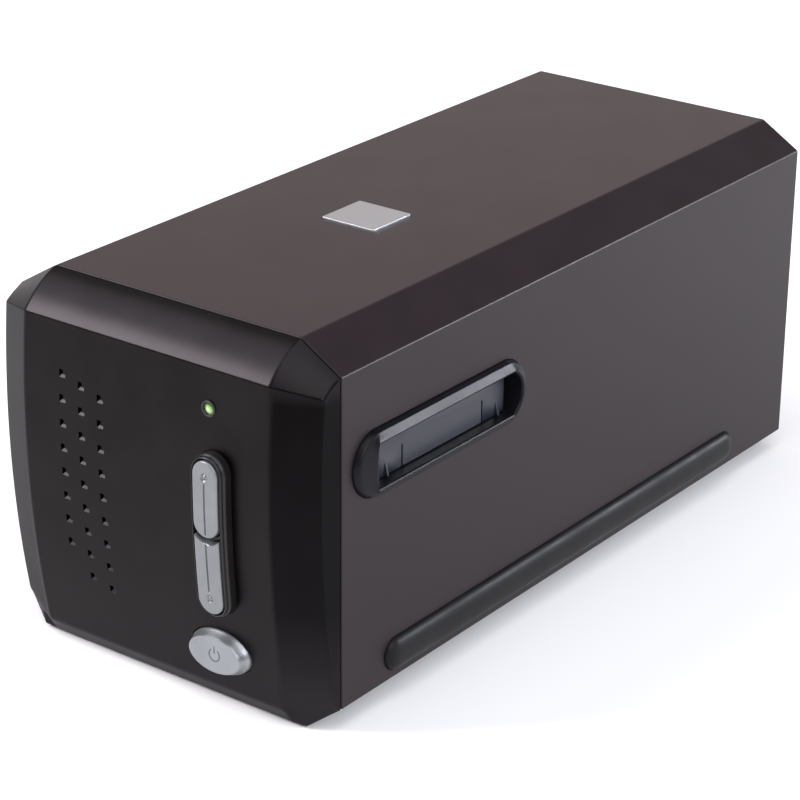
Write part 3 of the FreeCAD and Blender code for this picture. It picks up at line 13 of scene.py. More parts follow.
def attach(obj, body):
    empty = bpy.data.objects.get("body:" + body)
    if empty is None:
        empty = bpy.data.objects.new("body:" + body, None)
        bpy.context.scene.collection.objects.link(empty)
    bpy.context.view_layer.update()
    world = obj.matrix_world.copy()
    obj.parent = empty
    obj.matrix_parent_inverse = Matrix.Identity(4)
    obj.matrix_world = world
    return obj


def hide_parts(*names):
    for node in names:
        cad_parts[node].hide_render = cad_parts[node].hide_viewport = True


# Desktop scanner for strips and slides of 35 mm film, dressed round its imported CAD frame.
# Sizes are in millimetres and become metres as a mesh is made. X runs right, Y back, Z up.
# A place that ends in _s counts backwards from the seam between the front bezel and the cover.

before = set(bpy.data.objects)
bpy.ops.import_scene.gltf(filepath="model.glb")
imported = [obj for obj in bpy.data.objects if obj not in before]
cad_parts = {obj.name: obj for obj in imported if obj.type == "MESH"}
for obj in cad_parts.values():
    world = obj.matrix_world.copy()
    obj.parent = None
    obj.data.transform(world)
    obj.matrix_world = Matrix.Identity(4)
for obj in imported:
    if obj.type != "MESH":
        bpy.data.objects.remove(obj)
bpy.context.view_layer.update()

Loop = np.ndarray
Grid = np.ndarray
Span = tuple[float, float]
Colour = tuple[float, float, float, float]

MM = 0.001
WELD = 2e-6
TINY = 1e-9

# Angles in degrees: from the first an edge is shaded sharp, below the second two faces count as
# one plane, and above the third a copied edge is broken.
SHARP = 35.0
FLAT_ANGLE = 1.0
EDGE_ANGLE = 40.0

# The body that the pieces share. A cutter runs past what it cuts by the overrun, and a hole in
# the front is cut through all the room ahead of the seam.
SIDE = 60.0
SEAM = -115.4
REAR = 136.0
GROOVE = 0.7
BACK = SEAM - GROOVE
BARREL_RADIUS = 346.0
BARREL_MIDDLE = 72.4
BARREL_PROUD = 16.0
OVERRUN = 2.0
FRONT_ROOM = 20.0
HOLE_DEPTHS = (SEAM - FRONT_ROOM, SEAM + OVERRUN)

# The switches that the push rods of the keys and the button reach.
BOARD_AHEAD = 3.0
SWITCH_HEIGHT = 3.4
KEY_TRAVEL = 0.8
ROD_GAP = 0.2
ROD_END = SEAM - BOARD_AHEAD - SWITCH_HEIGHT - KEY_TRAVEL - ROD_GAP
ROD_RADIUS = 1.6
ROD_SINK = 0.8

# Spans of the straight runs and of the arcs of a slot shape, the least bow of an arc, and the
# most of a leg that a rounded corner takes.
RUN_STEPS = 16
END_STEPS = 24
LEAST_BOW = 1e-3
LEG_SHARE = 0.49

# The middle range of a noise value, and how fine the noise of clouds and of grain is.
NOISE_SPAN = (0.3, 0.7)
CLOUD_DETAIL = 3.0
GRAIN_DETAIL = 2.0


class Hand(Enum):
    """A side of the scanner, its value the sign of X there."""

    LEFT = -1
    RIGHT = 1

    @property
    def word(self) -> str:
        """The side's word in the names of pieces."""
        return self.name.lower()


# Shared shapes

def soften(stations: Grid, reaches: Sequence[float], steps: int = 5) -> Grid:
    """Rounds the corners of a path of stations, all their points at once.

    Around a corner c with a reach r, the two points p and q that lie r along the legs replace it,
    joined by the parabola (1-t)^2 p + 2t(1-t) c + t^2 q. A corner with no reach stays sharp.

    Args:
        stations: Stations along the path, first axis, each an array of points.
        reaches: One reach in millimetres for each station.
        steps: Spans of the parabola.

    Returns:
        The longer path of stations.
    """
    share = np.linspace(0.0, 1.0, steps + 1).reshape((-1,) + (1,) * (stations.ndim - 1))
    parts = []
    for place, reach in enumerate(reaches):
        corner = stations[place]
        if reach <= 0 or place in (0, len(stations) - 1):
            parts.append(corner[None])
            continue
        ends = []
        for other in (stations[place - 1], stations[place + 1]):
            leg = other - corner
            length = np.linalg.norm(leg, axis=-1, keepdims=True)
            ends.append(corner + leg * np.minimum(reach / np.maximum(length, TINY), LEG_SHARE))
        first, last = ends
        parts.append((1 - share) ** 2 * first + 2 * share * (1 - share) * corner + share ** 2 * last)
    return np.concatenate(parts)


def arc(first: Sequence[float], last: Sequence[float], sagitta: float, steps: int) -> Loop:
    """Points of the circle arc over a chord, bowed to the right of travel by a sagitta.

    With half chord h and sagitta s the radius is (h^2 + s^2) / 2s, and the point at angle a from
    the arc's middle is centre + radius (cos a outward + sin a along).

    Args:
        first: Start of the chord.
        last: End of the chord.
        sagitta: How far the arc's middle stands off the chord.
        steps: Spans of the arc.

    Returns:
        The points, ends included.
    """
    first, last = np.asarray(first, float), np.asarray(last, float)
    half = np.linalg.norm(last - first) / 2
    along = (last - first) / (2 * half)
    outward = np.array([along[1], -along[0]])
    sagitta = max(sagitta, LEAST_BOW)
    radius = (half ** 2 + sagitta ** 2) / (2 * sagitta)
    reach = math.atan2(half, radius - sagitta)
    angle = np.linspace(-reach, reach, steps + 1)[:, None]
    centre = (first + last) / 2 + outward * (sagitta - radius)
    return centre + radius * (np.cos(angle) * outward + np.sin(angle) * along)


def slot_loop(front: float, rear: float, low: float, high: float,
              front_sag: float, rear_sag: float) -> Loop:
    """A closed slot shape: straight foot and top, an arc at each end, always 80 points.

    Args:
        front: Start of the straight runs.
        rear: End of the straight runs.
        low: Height of the foot.
        high: Height of the top.
        front_sag: Sagitta of the front end.
        rear_sag: Sagitta of the rear end.

    Returns:
        The loop's points, not repeated at the end.
    """
    run = np.linspace(0.0, 1.0, RUN_STEPS + 1)[1:-1, None]
    foot = np.array([front, low]) + run * np.array([rear - front, 0.0])
    top = np.array([rear, high]) + run * np.array([front - rear, 0.0])
    rear_end = arc((rear, low), (rear, high), rear_sag, END_STEPS)
    front_end = arc((front, high), (front, low), front_sag, END_STEPS)
    return np.concatenate([foot, rear_end, top, front_end])


def oval_loop(half_x: float, half_z: float, count: int = 96) -> Loop:
    """The ellipse (half_x cos a, half_z sin a) as a closed loop."""
    angle = np.linspace(0.0, math.tau, count, endpoint=False)
    return np.stack([half_x * np.cos(angle), half_z * np.sin(angle)], axis=1)


def box_loop(low: Sequence[float], high: Sequence[float]) -> Loop:
    """The four corners of a rectangle."""
    return np.array([(low[0], low[1]), (high[0], low[1]), (high[0], high[1]), (low[0], high[1])], float)


def round_share(steps: int) -> tuple[np.ndarray, np.ndarray]:
    """Inset 1 - cos a and fall 1 - sin a of a quarter round, from its wall to its top."""
    angle = np.linspace(0.0, math.pi / 2, steps + 1)
    return 1 - np.cos(angle), 1 - np.sin(angle)


def face_depth(height: np.ndarray | float) -> np.ndarray:
    """How far the barrel face stands ahead of the seam at a height: p - (r - sqrt(r^2 - (z - m)^2))."""
    rise = np.sqrt(BARREL_RADIUS ** 2 - (np.asarray(height, float) - BARREL_MIDDLE) ** 2)
    return BARREL_PROUD - (BARREL_RADIUS - rise)


def smooth(value: np.ndarray | float) -> np.ndarray:
    """The smooth step 3v^2 - 2v^3 of a value clipped to 0..1."""
    clipped = np.clip(value, 0.0, 1.0)
    return clipped ** 2 * (3 - 2 * clipped)


class Plane(Enum):
    """Where the two coordinates of a flat loop go, and which axis it is carried along."""

    SIDE = (1, 2, 0)
    FACE = (0, 2, 1)
    TABLE = (0, 1, 2)

    def lift(self, loops: Grid, depth: np.ndarray | float) -> Grid:
        """Puts flat points into space at a depth along the plane's own axis.

        Args:
            loops: Flat points, their two coordinates on the last axis.
            depth: One depth, or depths that spread over the points.

        Returns:
            The points in space.
        """
        points = np.empty(loops.shape[:-1] + (3,))
        first, second, third = self.value
        points[..., first] = loops[..., 0]
        points[..., second] = loops[..., 1]
        points[..., third] = depth
        return points


# Meshes

@dataclass
class Shell:
    """Patches of points that are welded into one closed mesh with its faces outwards."""

    name: str
    patches: list[Grid] = field(default_factory=list)
    caps: list[Loop] = field(default_factory=list)

    def sheet(self, grid: Grid) -> "Shell":
        """Adds an open grid of points and returns the shell."""
        self.patches.append(grid)
        return self

    def tube(self, rings: Grid, first_cap: bool = False, last_cap: bool = False) -> "Shell":
        """Adds a stack of closed rings.

        Args:
            rings: Rings along the first axis, their points not repeated.
            first_cap: Closes the first ring with a flat face.
            last_cap: Closes the last ring with a flat face.

        Returns:
            The shell.
        """
        self.patches.append(np.concatenate([rings, rings[:, :1]], axis=1))
        if first_cap:
            self.caps.append(rings[0])
        if last_cap:
            self.caps.append(rings[-1])
        return self

    def mesh(self) -> bpy.types.Mesh:
        """Welds the patches and caps, merges their doubles and turns the faces outwards.

        Returns:
            The mesh, in metres.
        """
        points, faces, start = [], [], 0
        for grid in self.patches:
            rows, columns = grid.shape[:2]
            index = start + np.arange(rows * columns).reshape(rows, columns)
            quads = np.stack([index[:-1, :-1], index[1:, :-1], index[1:, 1:], index[:-1, 1:]], axis=-1)
            faces += quads.reshape(-1, 4).tolist()
            points.append(grid.reshape(-1, 3))
            start += rows * columns
        for loop in self.caps:
            faces.append(list(range(start, start + len(loop))))
            points.append(loop)
            start += len(loop)
        mesh = bpy.data.meshes.new(self.name)
        mesh.from_pydata((np.concatenate(points) * MM).tolist(), [], faces)
        work = bmesh.new()
        work.from_mesh(mesh)
        bmesh.ops.remove_doubles(work, verts=work.verts, dist=WELD)
        bmesh.ops.recalc_face_normals(work, faces=work.faces)
        work.to_mesh(mesh)
        work.free()
        return mesh

    def build(self, sharp: float = SHARP) -> bpy.types.Object:
        """Makes the scene object.

        Args:
            sharp: Angle in degrees from which an edge is shaded sharp.

        Returns:
            The new object, at the origin.
        """
        piece = bpy.data.objects.new(self.name, self.mesh())
        bpy.context.scene.collection.objects.link(piece)
        shade(piece, sharp)
        return piece


def shade(piece: bpy.types.Object, sharp: float) -> None:
    """Shades a piece smooth, but for its edges above an angle in degrees."""
    piece.data.shade_smooth()
    piece.data.set_sharp_from_angle(angle=math.radians(sharp))


def level_normals(piece: bpy.types.Object) -> None:
    """Lets the large faces of a piece keep their own normals beside its rounded edges.

    Args:
        piece: The piece.
    """
    modifier = piece.modifiers.new("level", "WEIGHTED_NORMAL")
    modifier.keep_sharp = True
    modifier.weight = 100


def carve(piece: bpy.types.Object, cutters: Sequence[bpy.types.Object], sharp: float = SHARP) -> None:
    """Cuts other shapes out of a piece, and takes them out of the scene.

    Args:
        piece: The piece that is cut.
        cutters: Closed shapes that are removed from it.
        sharp: Angle in degrees from which an edge is shaded sharp.
    """
    for cutter in cutters:
        modifier = piece.modifiers.new("cut", "BOOLEAN")
        modifier.object = cutter
        modifier.operation = "DIFFERENCE"
        modifier.solver = "EXACT"
    bpy.context.view_layer.update()
    graph = bpy.context.evaluated_depsgraph_get()
    mesh = bpy.data.meshes.new_from_object(piece.evaluated_get(graph))
    piece.modifiers.clear()
    piece.data = mesh
    shade(piece, sharp)
    for cutter in cutters:
        bpy.data.objects.remove(cutter)


def bar(name: str, loop: Loop, plane: Plane, depths: Span) -> bpy.types.Object:
    """A plain bar: a flat loop carried from one depth to another, closed at both ends."""
    rings = np.stack([plane.lift(loop, depth) for depth in depths])
    return Shell(name).tube(rings, True, True).build()


def push_rod(name: str, middle: Sequence[float], cap_back: float) -> bpy.types.Object:
    """The round rod from a cap's back to its switch."""
    loop = oval_loop(ROD_RADIUS, ROD_RADIUS, count=24) + np.asarray(middle)
    return bar(name, loop, Plane.FACE, (cap_back - ROD_SINK, ROD_END))


def closed_slab(name: str, outside: Grid, inside: Grid) -> Shell:
    """Two matching grids, joined along their four borders.

    Args:
        name: The piece's name.
        outside: The outer grid.
        inside: The inner grid, of the same shape.

    Returns:
        The closed shell.
    """
    shell = Shell(name).sheet(outside).sheet(inside)
    for index in (0, -1):
        shell.sheet(np.stack([outside[index], inside[index]]))
        shell.sheet(np.stack([outside[:, index], inside[:, index]]))
    return shell


# Finishes

class Bench:
    """Places and wires the nodes of one material."""

    def __init__(self, name: str) -> None:
        """Opens a new material with an empty node tree."""
        self.material = bpy.data.materials.new(name)
        self.material.use_nodes = True
        self.tree = self.material.node_tree
        self.tree.nodes.clear()

    def add(self, kind: str, inputs: dict[object, object] | None = None,
            **settings: object) -> bpy.types.Node:
        """Adds a node.

        Args:
            kind: The node's type after ShaderNode.
            inputs: Values or sockets for its inputs, by name or number.
            settings: Its own settings.

        Returns:
            The node.
        """
        node = self.tree.nodes.new("ShaderNode" + kind)
        for key, value in settings.items():
            setattr(node, key, value)
        for key, value in (inputs or {}).items():
            if isinstance(value, bpy.types.NodeSocket):
                self.tree.links.new(value, node.inputs[key])
            else:
                node.inputs[key].default_value = value
        return node

    def place(self, stretch: Sequence[float] = (1.0, 1.0, 1.0)) -> bpy.types.NodeSocket:
        """The object's own coordinates, stretched."""
        coordinates = self.add("TexCoord").outputs["Object"]
        return self.add("Mapping", {"Vector": coordinates, "Scale": stretch}).outputs["Vector"]

    def noise(self, place: bpy.types.NodeSocket, grain: float,
              detail: float = GRAIN_DETAIL) -> bpy.types.NodeSocket:
        """Noise whose grains are about so many millimetres wide."""
        node = self.add("TexNoise", {"Vector": place, "Scale": 1 / (grain * MM), "Detail": detail})
        return node.outputs["Fac"]

    def ramp(self, value: bpy.types.NodeSocket, source: Span, target: Span) -> bpy.types.NodeSocket:
        """Maps a value evenly from one span onto another, and holds it beyond both ends."""
        node = self.add("MapRange", {"Value": value, 1: source[0], 2: source[1], 3: target[0], 4: target[1]})
        return node.outputs["Result"]

    def span(self, value: bpy.types.NodeSocket, low: float, high: float) -> bpy.types.NodeSocket:
        """Maps a noise value's middle range onto a span of values."""
        return self.ramp(value, NOISE_SPAN, (low, high))

    def product(self, first: bpy.types.NodeSocket, second: bpy.types.NodeSocket) -> bpy.types.NodeSocket:
        """One value times another."""
        return self.add("Math", {0: first, 1: second}, operation="MULTIPLY").outputs[0]

    def blend(self, share: bpy.types.NodeSocket, first: "bpy.types.NodeSocket | Colour",
              second: "bpy.types.NodeSocket | Colour") -> bpy.types.NodeSocket:
        """A colour between two, by a share."""
        return self.add("Mix", {"Factor": share, 6: first, 7: second}, data_type="RGBA").outputs[2]

    def bump(self, height: bpy.types.NodeSocket, depth: float) -> bpy.types.NodeSocket:
        """A bump of so many millimetres from a height value."""
        node = self.add("Bump", {"Height": height, "Distance": depth * MM, "Strength": 1.0})
        return node.outputs["Normal"]

    def close(self, shader: bpy.types.Node) -> bpy.types.Material:
        """Wires a shader to the output and returns the material."""
        self.add("OutputMaterial", {"Surface": shader.outputs[0]})
        return self.material


def linear(code: str) -> Colour:
    """The linear colour of a six-digit sRGB one.

    A channel c becomes c / 12.92 near black and ((c + 0.055) / 1.055)^2.4 above it.

    Args:
        code: Six hexadecimal digits.

    Returns:
        The colour, opaque.
    """
    parts = np.array([int(code[i:i + 2], 16) for i in (0, 2, 4)]) / 255
    values = np.where(parts <= 0.04045, parts / 12.92, ((parts + 0.055) / 1.055) ** 2.4)
    return (*values.tolist(), 1.0)


def grey(level: float) -> Colour:
    """An opaque grey."""
    return level, level, level, 1.0


@dataclass(frozen=True)
class Finish:
    """A finish with its own colour, cloudiness and grain.

    The colour wanders between two shades over a cloud's width, the roughness between two values
    over the same width, and the surface carries a grain of bumps. On a metallic finish rim is the
    share of the reflection that is left at a grazing angle.
    """

    name: str
    colour: str
    other: str
    rough: Span = (0.35, 0.45)
    metal: float = 0.0
    gloss: float = 0.5
    cloud: float = 14.0
    grain: float = 0.5
    relief: float = 0.03
    stretch: tuple[float, float, float] = (1.0, 1.0, 1.0)
    rim: float = 1.0

    def material(self) -> bpy.types.Material:
        """The finish's material, made once."""
        title = f"finish_{self.name}"
        return bpy.data.materials.get(title) or self.mix(Bench(title))

    def mix(self, bench: Bench) -> bpy.types.Material:
        """Wires the material: cloud to colour and roughness, grain to bump.

        Args:
            bench: The bench of the new material.

        Returns:
            The material.
        """
        place = bench.place(self.stretch)
        cloud = bench.noise(place, self.cloud, CLOUD_DETAIL)
        tint = bench.blend(bench.span(cloud, 0.0, 1.0), linear(self.colour), linear(self.other))
        return bench.close(bench.add("BsdfPrincipled", {
            "Base Color": self.shaded(bench, place, tint),
            "Roughness": bench.span(cloud, *self.rough),
            "Metallic": self.metal,
            "Specular IOR Level": self.gloss,
            "Specular Tint": self.grazing(bench, place),
            "Normal": bench.bump(bench.noise(place, self.grain), self.relief),
        }))

    def shaded(self, bench: Bench, place: bpy.types.NodeSocket,
               tint: bpy.types.NodeSocket) -> bpy.types.NodeSocket:
        """The colour at a place, here the tint as it is."""
        return tint

    def grazing(self, bench: Bench, place: bpy.types.NodeSocket) -> "bpy.types.NodeSocket | Colour":
        """The reflection that is left at a grazing angle, here the same everywhere."""
        return grey(self.rim)

    def dress(self, piece: bpy.types.Object) -> None:
        """Gives a piece this finish alone."""
        piece.data.materials.clear()
        piece.data.materials.append(self.material())


@dataclass(frozen=True)
class FacetPaintWithPaintedLight(Finish):
    """Metallic paint of the faceted front.

    The paint carries a painted reflection that makes it lighter towards the foot, and painted shade that
    makes the right facet darker. At the foot of the left facet its reflection at a grazing angle is
    dimmed as painted shade. Each pair of heights or places says where such a change begins and where
    it is complete.
    """

    # Painted light towards the foot, painted shade on the right facet and at the left facet's foot.
    painted_light_colour: str = "302d2f"
    painted_light_share: float = 0.5
    painted_light_heights: Span = (95.0, 8.0)
    crease: Span = (46.2, 47.4)
    painted_shade_share: float = 0.6
    painted_shade_top: Span = (108.0, 104.0)
    painted_shade_foot: Span = (10.0, 40.0)
    painted_shade_rim: float = 0.54
    painted_shade_rim_heights: Span = (85.0, 15.0)

    def along(self, bench: Bench, place: bpy.types.NodeSocket, axis: str, ends: Span,
              top: float = 1.0) -> bpy.types.NodeSocket:
        """A share that grows along an axis, from 0 at the first place to its top at the second.

        Args:
            bench: The bench of the material.
            place: The piece's coordinates.
            axis: X, Y or Z.
            ends: The two places in millimetres.
            top: The share beyond the second place.

        Returns:
            The share.
        """
        axes = bench.add("SeparateXYZ", {"Vector": place})
        return bench.ramp(axes.outputs[axis], (ends[0] * MM, ends[1] * MM), (0.0, top))

    def shaded(self, bench: Bench, place: bpy.types.NodeSocket,
               tint: bpy.types.NodeSocket) -> bpy.types.NodeSocket:
        """The tint with a painted reflection lighter towards the foot and painted shade on the right facet.

        Args:
            bench: The bench of the material.
            place: The piece's coordinates.
            tint: The colour before.

        Returns:
            The colour.
        """
        # Painted reflection: lighter towards the foot; painted shade: darker on the right facet.
        foot = self.along(bench, place, "Z", self.painted_light_heights, self.painted_light_share)
        heights = bench.product(self.along(bench, place, "Z", self.painted_shade_top, self.painted_shade_share),
                                self.along(bench, place, "Z", self.painted_shade_foot))
        facet = bench.product(heights, self.along(bench, place, "X", self.crease))
        return bench.blend(facet, bench.blend(foot, tint, linear(self.painted_light_colour)), grey(0.0))

    def grazing(self, bench: Bench, place: bpy.types.NodeSocket) -> bpy.types.NodeSocket:
        """The reflection that is left at a grazing angle, dimmed at the foot of the left facet as painted
        shade.

        Args:
            bench: The bench of the material.
            place: The piece's coordinates.

        Returns:
            The share as a grey.
        """
        # Painted shade: less grazing reflection at the foot of the left facet.
        left = self.along(bench, place, "X", (-self.crease[0], -self.crease[1]))
        low = bench.product(self.along(bench, place, "Z", self.painted_shade_rim_heights), left)
        return bench.blend(low, grey(self.rim), grey(self.painted_shade_rim))


@dataclass(frozen=True)
class Glass(Finish):
    """Clear coated optical glass."""

    tint: Colour = (0.8, 0.85, 1.0, 1.0)
    index: float = 1.6

    def mix(self, bench: Bench) -> bpy.types.Material:
        """Wires a transmitting shader whose coating wanders a little in roughness.

        Args:
            bench: The bench of the new material.

        Returns:
            The material.
        """
        cloud = bench.noise(bench.place(), self.cloud)
        return bench.close(bench.add("BsdfPrincipled", {
            "Roughness": bench.span(cloud, *self.rough),
            "Transmission Weight": 1.0,
            "IOR": self.index,
            "Base Color": self.tint,
        }))


@dataclass(frozen=True)
class Glow(Finish):
    """A light pipe that is lit from behind, brighter towards one point."""

    centre: tuple[float, float, float] = (0.0, 0.0, 0.0)
    reach: float = 1.6
    power: float = 1.0
    sheen: float = 0.12
    coat: float = 0.6

    def mix(self, bench: Bench) -> bpy.types.Material:
        """Wires an emission that falls evenly from the bright point outwards.

        Args:
            bench: The bench of the new material.

        Returns:
            The material.
        """
        point = tuple(part * MM for part in self.centre)
        coordinates = bench.add("TexCoord").outputs["Object"]
        offset = bench.add("VectorMath", {0: coordinates, 1: point}, operation="DISTANCE")
        fall = bench.ramp(offset.outputs["Value"], (0.0, self.reach * MM), (1.0, 0.0))
        tint = bench.blend(fall, linear(self.other), linear(self.colour))
        return bench.close(bench.add("BsdfPrincipled", {
            "Base Color": tint,
            "Emission Color": tint,
            "Emission Strength": self.power,
            "Roughness": self.sheen,
            "Coat Weight": self.coat,
        }))


@dataclass(frozen=True)
class Laminate(Finish):
    """Green circuit laminate with faint tracks."""

    track_colour: str = "4d8a5c"
    track_width: float = 0.03
    track_scale: float = 160.0

    def mix(self, bench: Bench) -> bpy.types.Material:
        """Wires brick-like tracks over the green.

        Args:
            bench: The bench of the new material.

        Returns:
            The material.
        """
        place = bench.place()
        tracks = bench.add("TexBrick", {
            "Vector": place,
            "Scale": self.track_scale,
            "Mortar Size": self.track_width,
            "Color1": linear(self.colour),
            "Color2": linear(self.other),
            "Mortar": linear(self.track_colour),
        })
        return bench.close(bench.add("BsdfPrincipled", {
            "Base Color": tracks.outputs["Color"],
            "Roughness": bench.span(bench.noise(place, self.cloud), *self.rough),
            "Normal": bench.bump(tracks.outputs["Fac"], self.relief),
        }))


COVER_PAINT = Finish("cover_paint", "1e1619", "22191d", (0.36, 0.39), gloss=0.22, grain=0.25, relief=0.012)
# The bezel's paint carries painted light and painted shade on its facets.
BEZEL_PAINT = FacetPaintWithPaintedLight("bezel_paint_and_painted_light", "201e1f", "242223", (0.31, 0.34), metal=1.0, rim=0.7, grain=0.25,
                         relief=0.012)
RING_PLASTIC = Finish("ring_plastic", "0f0f13", "131318", (0.32, 0.38), gloss=0.14, grain=0.25, relief=0.02)
DOOR_PLASTIC = Finish("door_plastic", "1b1e28", "21242f", (0.3, 0.38), grain=0.4, relief=0.02)
STRIP_RUBBER = Finish("strip_rubber", "0e0e0f", "121214", (0.42, 0.55), gloss=0.2, grain=0.25)
COLLAR_PLASTIC = Finish("collar_plastic", "171516", "1c1a1b", (0.32, 0.4), gloss=0.35, grain=0.3,
                        relief=0.015)
KEY_PAINT = Finish("key_paint", "7b7e81", "85888b", (0.34, 0.42), metal=0.65, cloud=9.0, grain=0.22,
                   relief=0.02)
POWER_PAINT = Finish("power_paint", "8b8e92", "95989c", (0.28, 0.36), metal=0.7, cloud=9.0, grain=0.22,
                     relief=0.02)
MARK_INK = Finish("mark_ink", "4f5156", "5a5c61", (0.4, 0.5), gloss=0.3)
BADGE_METAL = Finish("badge_metal", "aeb0b2", "b4b6b8", (0.36, 0.46), metal=0.85, relief=0.01,
                     stretch=(1.0, 0.06, 1.0))
TRAY_PLASTIC = Finish("tray_plastic", "1a1a1b", "212122", (0.45, 0.55), grain=0.7, relief=0.06)
FOOT_RUBBER = Finish("foot_rubber", "232324", "2c2c2d", (0.6, 0.75), gloss=0.3, grain=0.3, relief=0.05)
STEEL = Finish("steel", "8d8f93", "9b9da1", (0.25, 0.38), metal=1.0, cloud=6.0, grain=0.4, relief=0.01)
SHEET_STEEL = Finish("sheet_steel", "85878a", "989a9c", (0.32, 0.46), metal=1.0, cloud=3.0, grain=0.6,
                     relief=0.01)
BRASS = Finish("brass", "a9853f", "b8934a", (0.25, 0.38), metal=1.0)
MOTOR_METAL = Finish("motor_metal", "6f7174", "7c7e81", (0.3, 0.4), metal=0.9, grain=0.4)
BLACK_PLASTIC = Finish("black_plastic", "161617", "1d1d1e", (0.4, 0.5))
GREY_PLASTIC = Finish("grey_plastic", "2e3032", "37393b", (0.42, 0.52))
ALUMINIUM = Finish("aluminium", "4a4b4e", "55565a", (0.25, 0.35), metal=0.9, stretch=(1.0, 0.2, 1.0))
DIFFUSER = Finish("diffuser", "e4e6e2", "edeeea", (0.5, 0.6), grain=0.4)
MIRROR = Finish("mirror", "e9ecef", "f1f3f5", (0.02, 0.04), metal=1.0, relief=0.0)
FLOOR_PAPER = Finish("floor_paper", "f4f4f4", "f7f7f7", (0.8, 0.9), gloss=0.1, cloud=400.0, grain=2.0,
                     relief=0.0)
LAMINATE = Laminate("laminate", "12502f", "155a35", (0.28, 0.36), relief=0.02)
GLASS = Glass("optic_glass", "ffffff", "ffffff", (0.02, 0.05))
LAMP = Glow("lamp_glow", "cfe8a4", "2f6a1c", centre=(24.3, -130.9, 96.4), reach=2.2, power=0.42)


def settle(piece: bpy.types.Object, body: str, finish: Finish, slot: str, *nodes: str,
           level: bool = True) -> bpy.types.Object:
    """Dresses a new piece, lets it ride on its body and stand for its CAD nodes.

    Args:
        piece: The new piece.
        body: The body that it moves with.
        finish: What it is made of.
        slot: The record's material slot; not used.
        nodes: CAD nodes that it stands for.
        level: Whether its large faces keep their own normals.

    Returns:
        The piece.
    """
    finish.dress(piece)
    if level:
        level_normals(piece)
    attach(piece, body)
    if nodes:
        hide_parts(*nodes)
    logging.info("%s: %d faces", piece.name, len(piece.data.polygons))
    return piece


def trimmed_copy(node: str, name: str, width: float) -> bpy.types.Object:
    """A welded copy of a CAD node with its edges broken.

    Args:
        node: The CAD node.
        name: The new piece's name.
        width: Width of the broken edges in millimetres.

    Returns:
        The copy.
    """
    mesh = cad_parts[node].data.copy()
    mesh.name = name
    work = bmesh.new()
    work.from_mesh(mesh)
    bmesh.ops.remove_doubles(work, verts=work.verts, dist=WELD)
    bmesh.ops.dissolve_limit(work, angle_limit=math.radians(FLAT_ANGLE), verts=work.verts, edges=work.edges)
    work.to_mesh(mesh)
    work.free()
    piece = bpy.data.objects.new(name, mesh)
    bpy.context.scene.collection.objects.link(piece)
    shade(piece, SHARP)
    modifier = piece.modifiers.new("edges", "BEVEL")
    modifier.width = width * MM
    modifier.segments = 2
    modifier.limit_method = "ANGLE"
    modifier.angle_limit = math.radians(EDGE_ANGLE)
    modifier.harden_normals = True
    return piece


# The cover

@dataclass
class Tunnel:
    """The cover's cross-section, shared by the cover, the lip and the rim behind the seam."""

    half_width: float = SIDE
    height: float = 119.0
    foot: float = 7.0
    chamfer_width: float = 14.0
    chamfer_drop: float = 8.5

    def outline(self, inset: float, foot: float) -> Loop:
        """The six corners from the left foot over the top to the right foot, drawn in by an inset.

        Each side moves in by the inset i, so a chamfer's lower corner drops by i (m - w) / d and
        its upper one moves in by i (m - d) / w, where m is the chamfer's slant, w its width and
        d its drop.

        Args:
            inset: How far each side moves in.
            foot: Height of the two feet.

        Returns:
            The corners.
        """
        slant = math.hypot(self.chamfer_width, self.chamfer_drop)
        upper = self.half_width - self.chamfer_width
        upper -= inset * (slant - self.chamfer_drop) / self.chamfer_width
        lower = self.height - self.chamfer_drop
        lower -= inset * (slant - self.chamfer_width) / self.chamfer_drop
        side = self.half_width - inset
        top = self.height - inset
        left = [(-side, foot), (-side, lower), (-upper, top)]
        return np.array([*left, (upper, top), (side, lower), (side, foot)])

    def wall(self, name: str, insets: tuple[float, float], ends: tuple[float, float],
             foot: float, radius: float, rim: float) -> Shell:
        """An arch-shaped wall, as the section of the wall carried over the arch.

        A point at a share w through the wall and a depth y lies at outer + w (inner - outer),
        where outer and inner are matching points of the two outlines with rounded corners. The
        pairs (w, y) run round a rectangle whose corners are rounded too.

        Args:
            name: The piece's name.
            insets: Inset of the wall's outer and inner face.
            ends: Depths of its front and rear rim.
            foot: Height of its feet.
            radius: Reach of the rounding at the chamfers.
            rim: Reach of the rounding at the rims.

        Returns:
            The wall as a shell.
        """
        pair = np.stack([self.outline(inset, foot) for inset in insets], axis=1)
        arch = soften(pair, [0, *[radius] * 4, 0], steps=8)
        thick = insets[1] - insets[0]
        front, rear = ends
        start = (0, (front + rear) / 2)
        loop = np.array([start, (0, rear), (thick, rear), (thick, front), (0, front), start], float)
        loop = soften(loop, [0, *[rim] * 4, 0], steps=4)[:-1]
        share = loop[None, :, :1] / thick
        flat = arch[:, None, 0] * (1 - share) + arch[:, None, 1] * share
        return Shell(name).tube(Plane.FACE.lift(flat, loop[None, :, 1]), True, True)


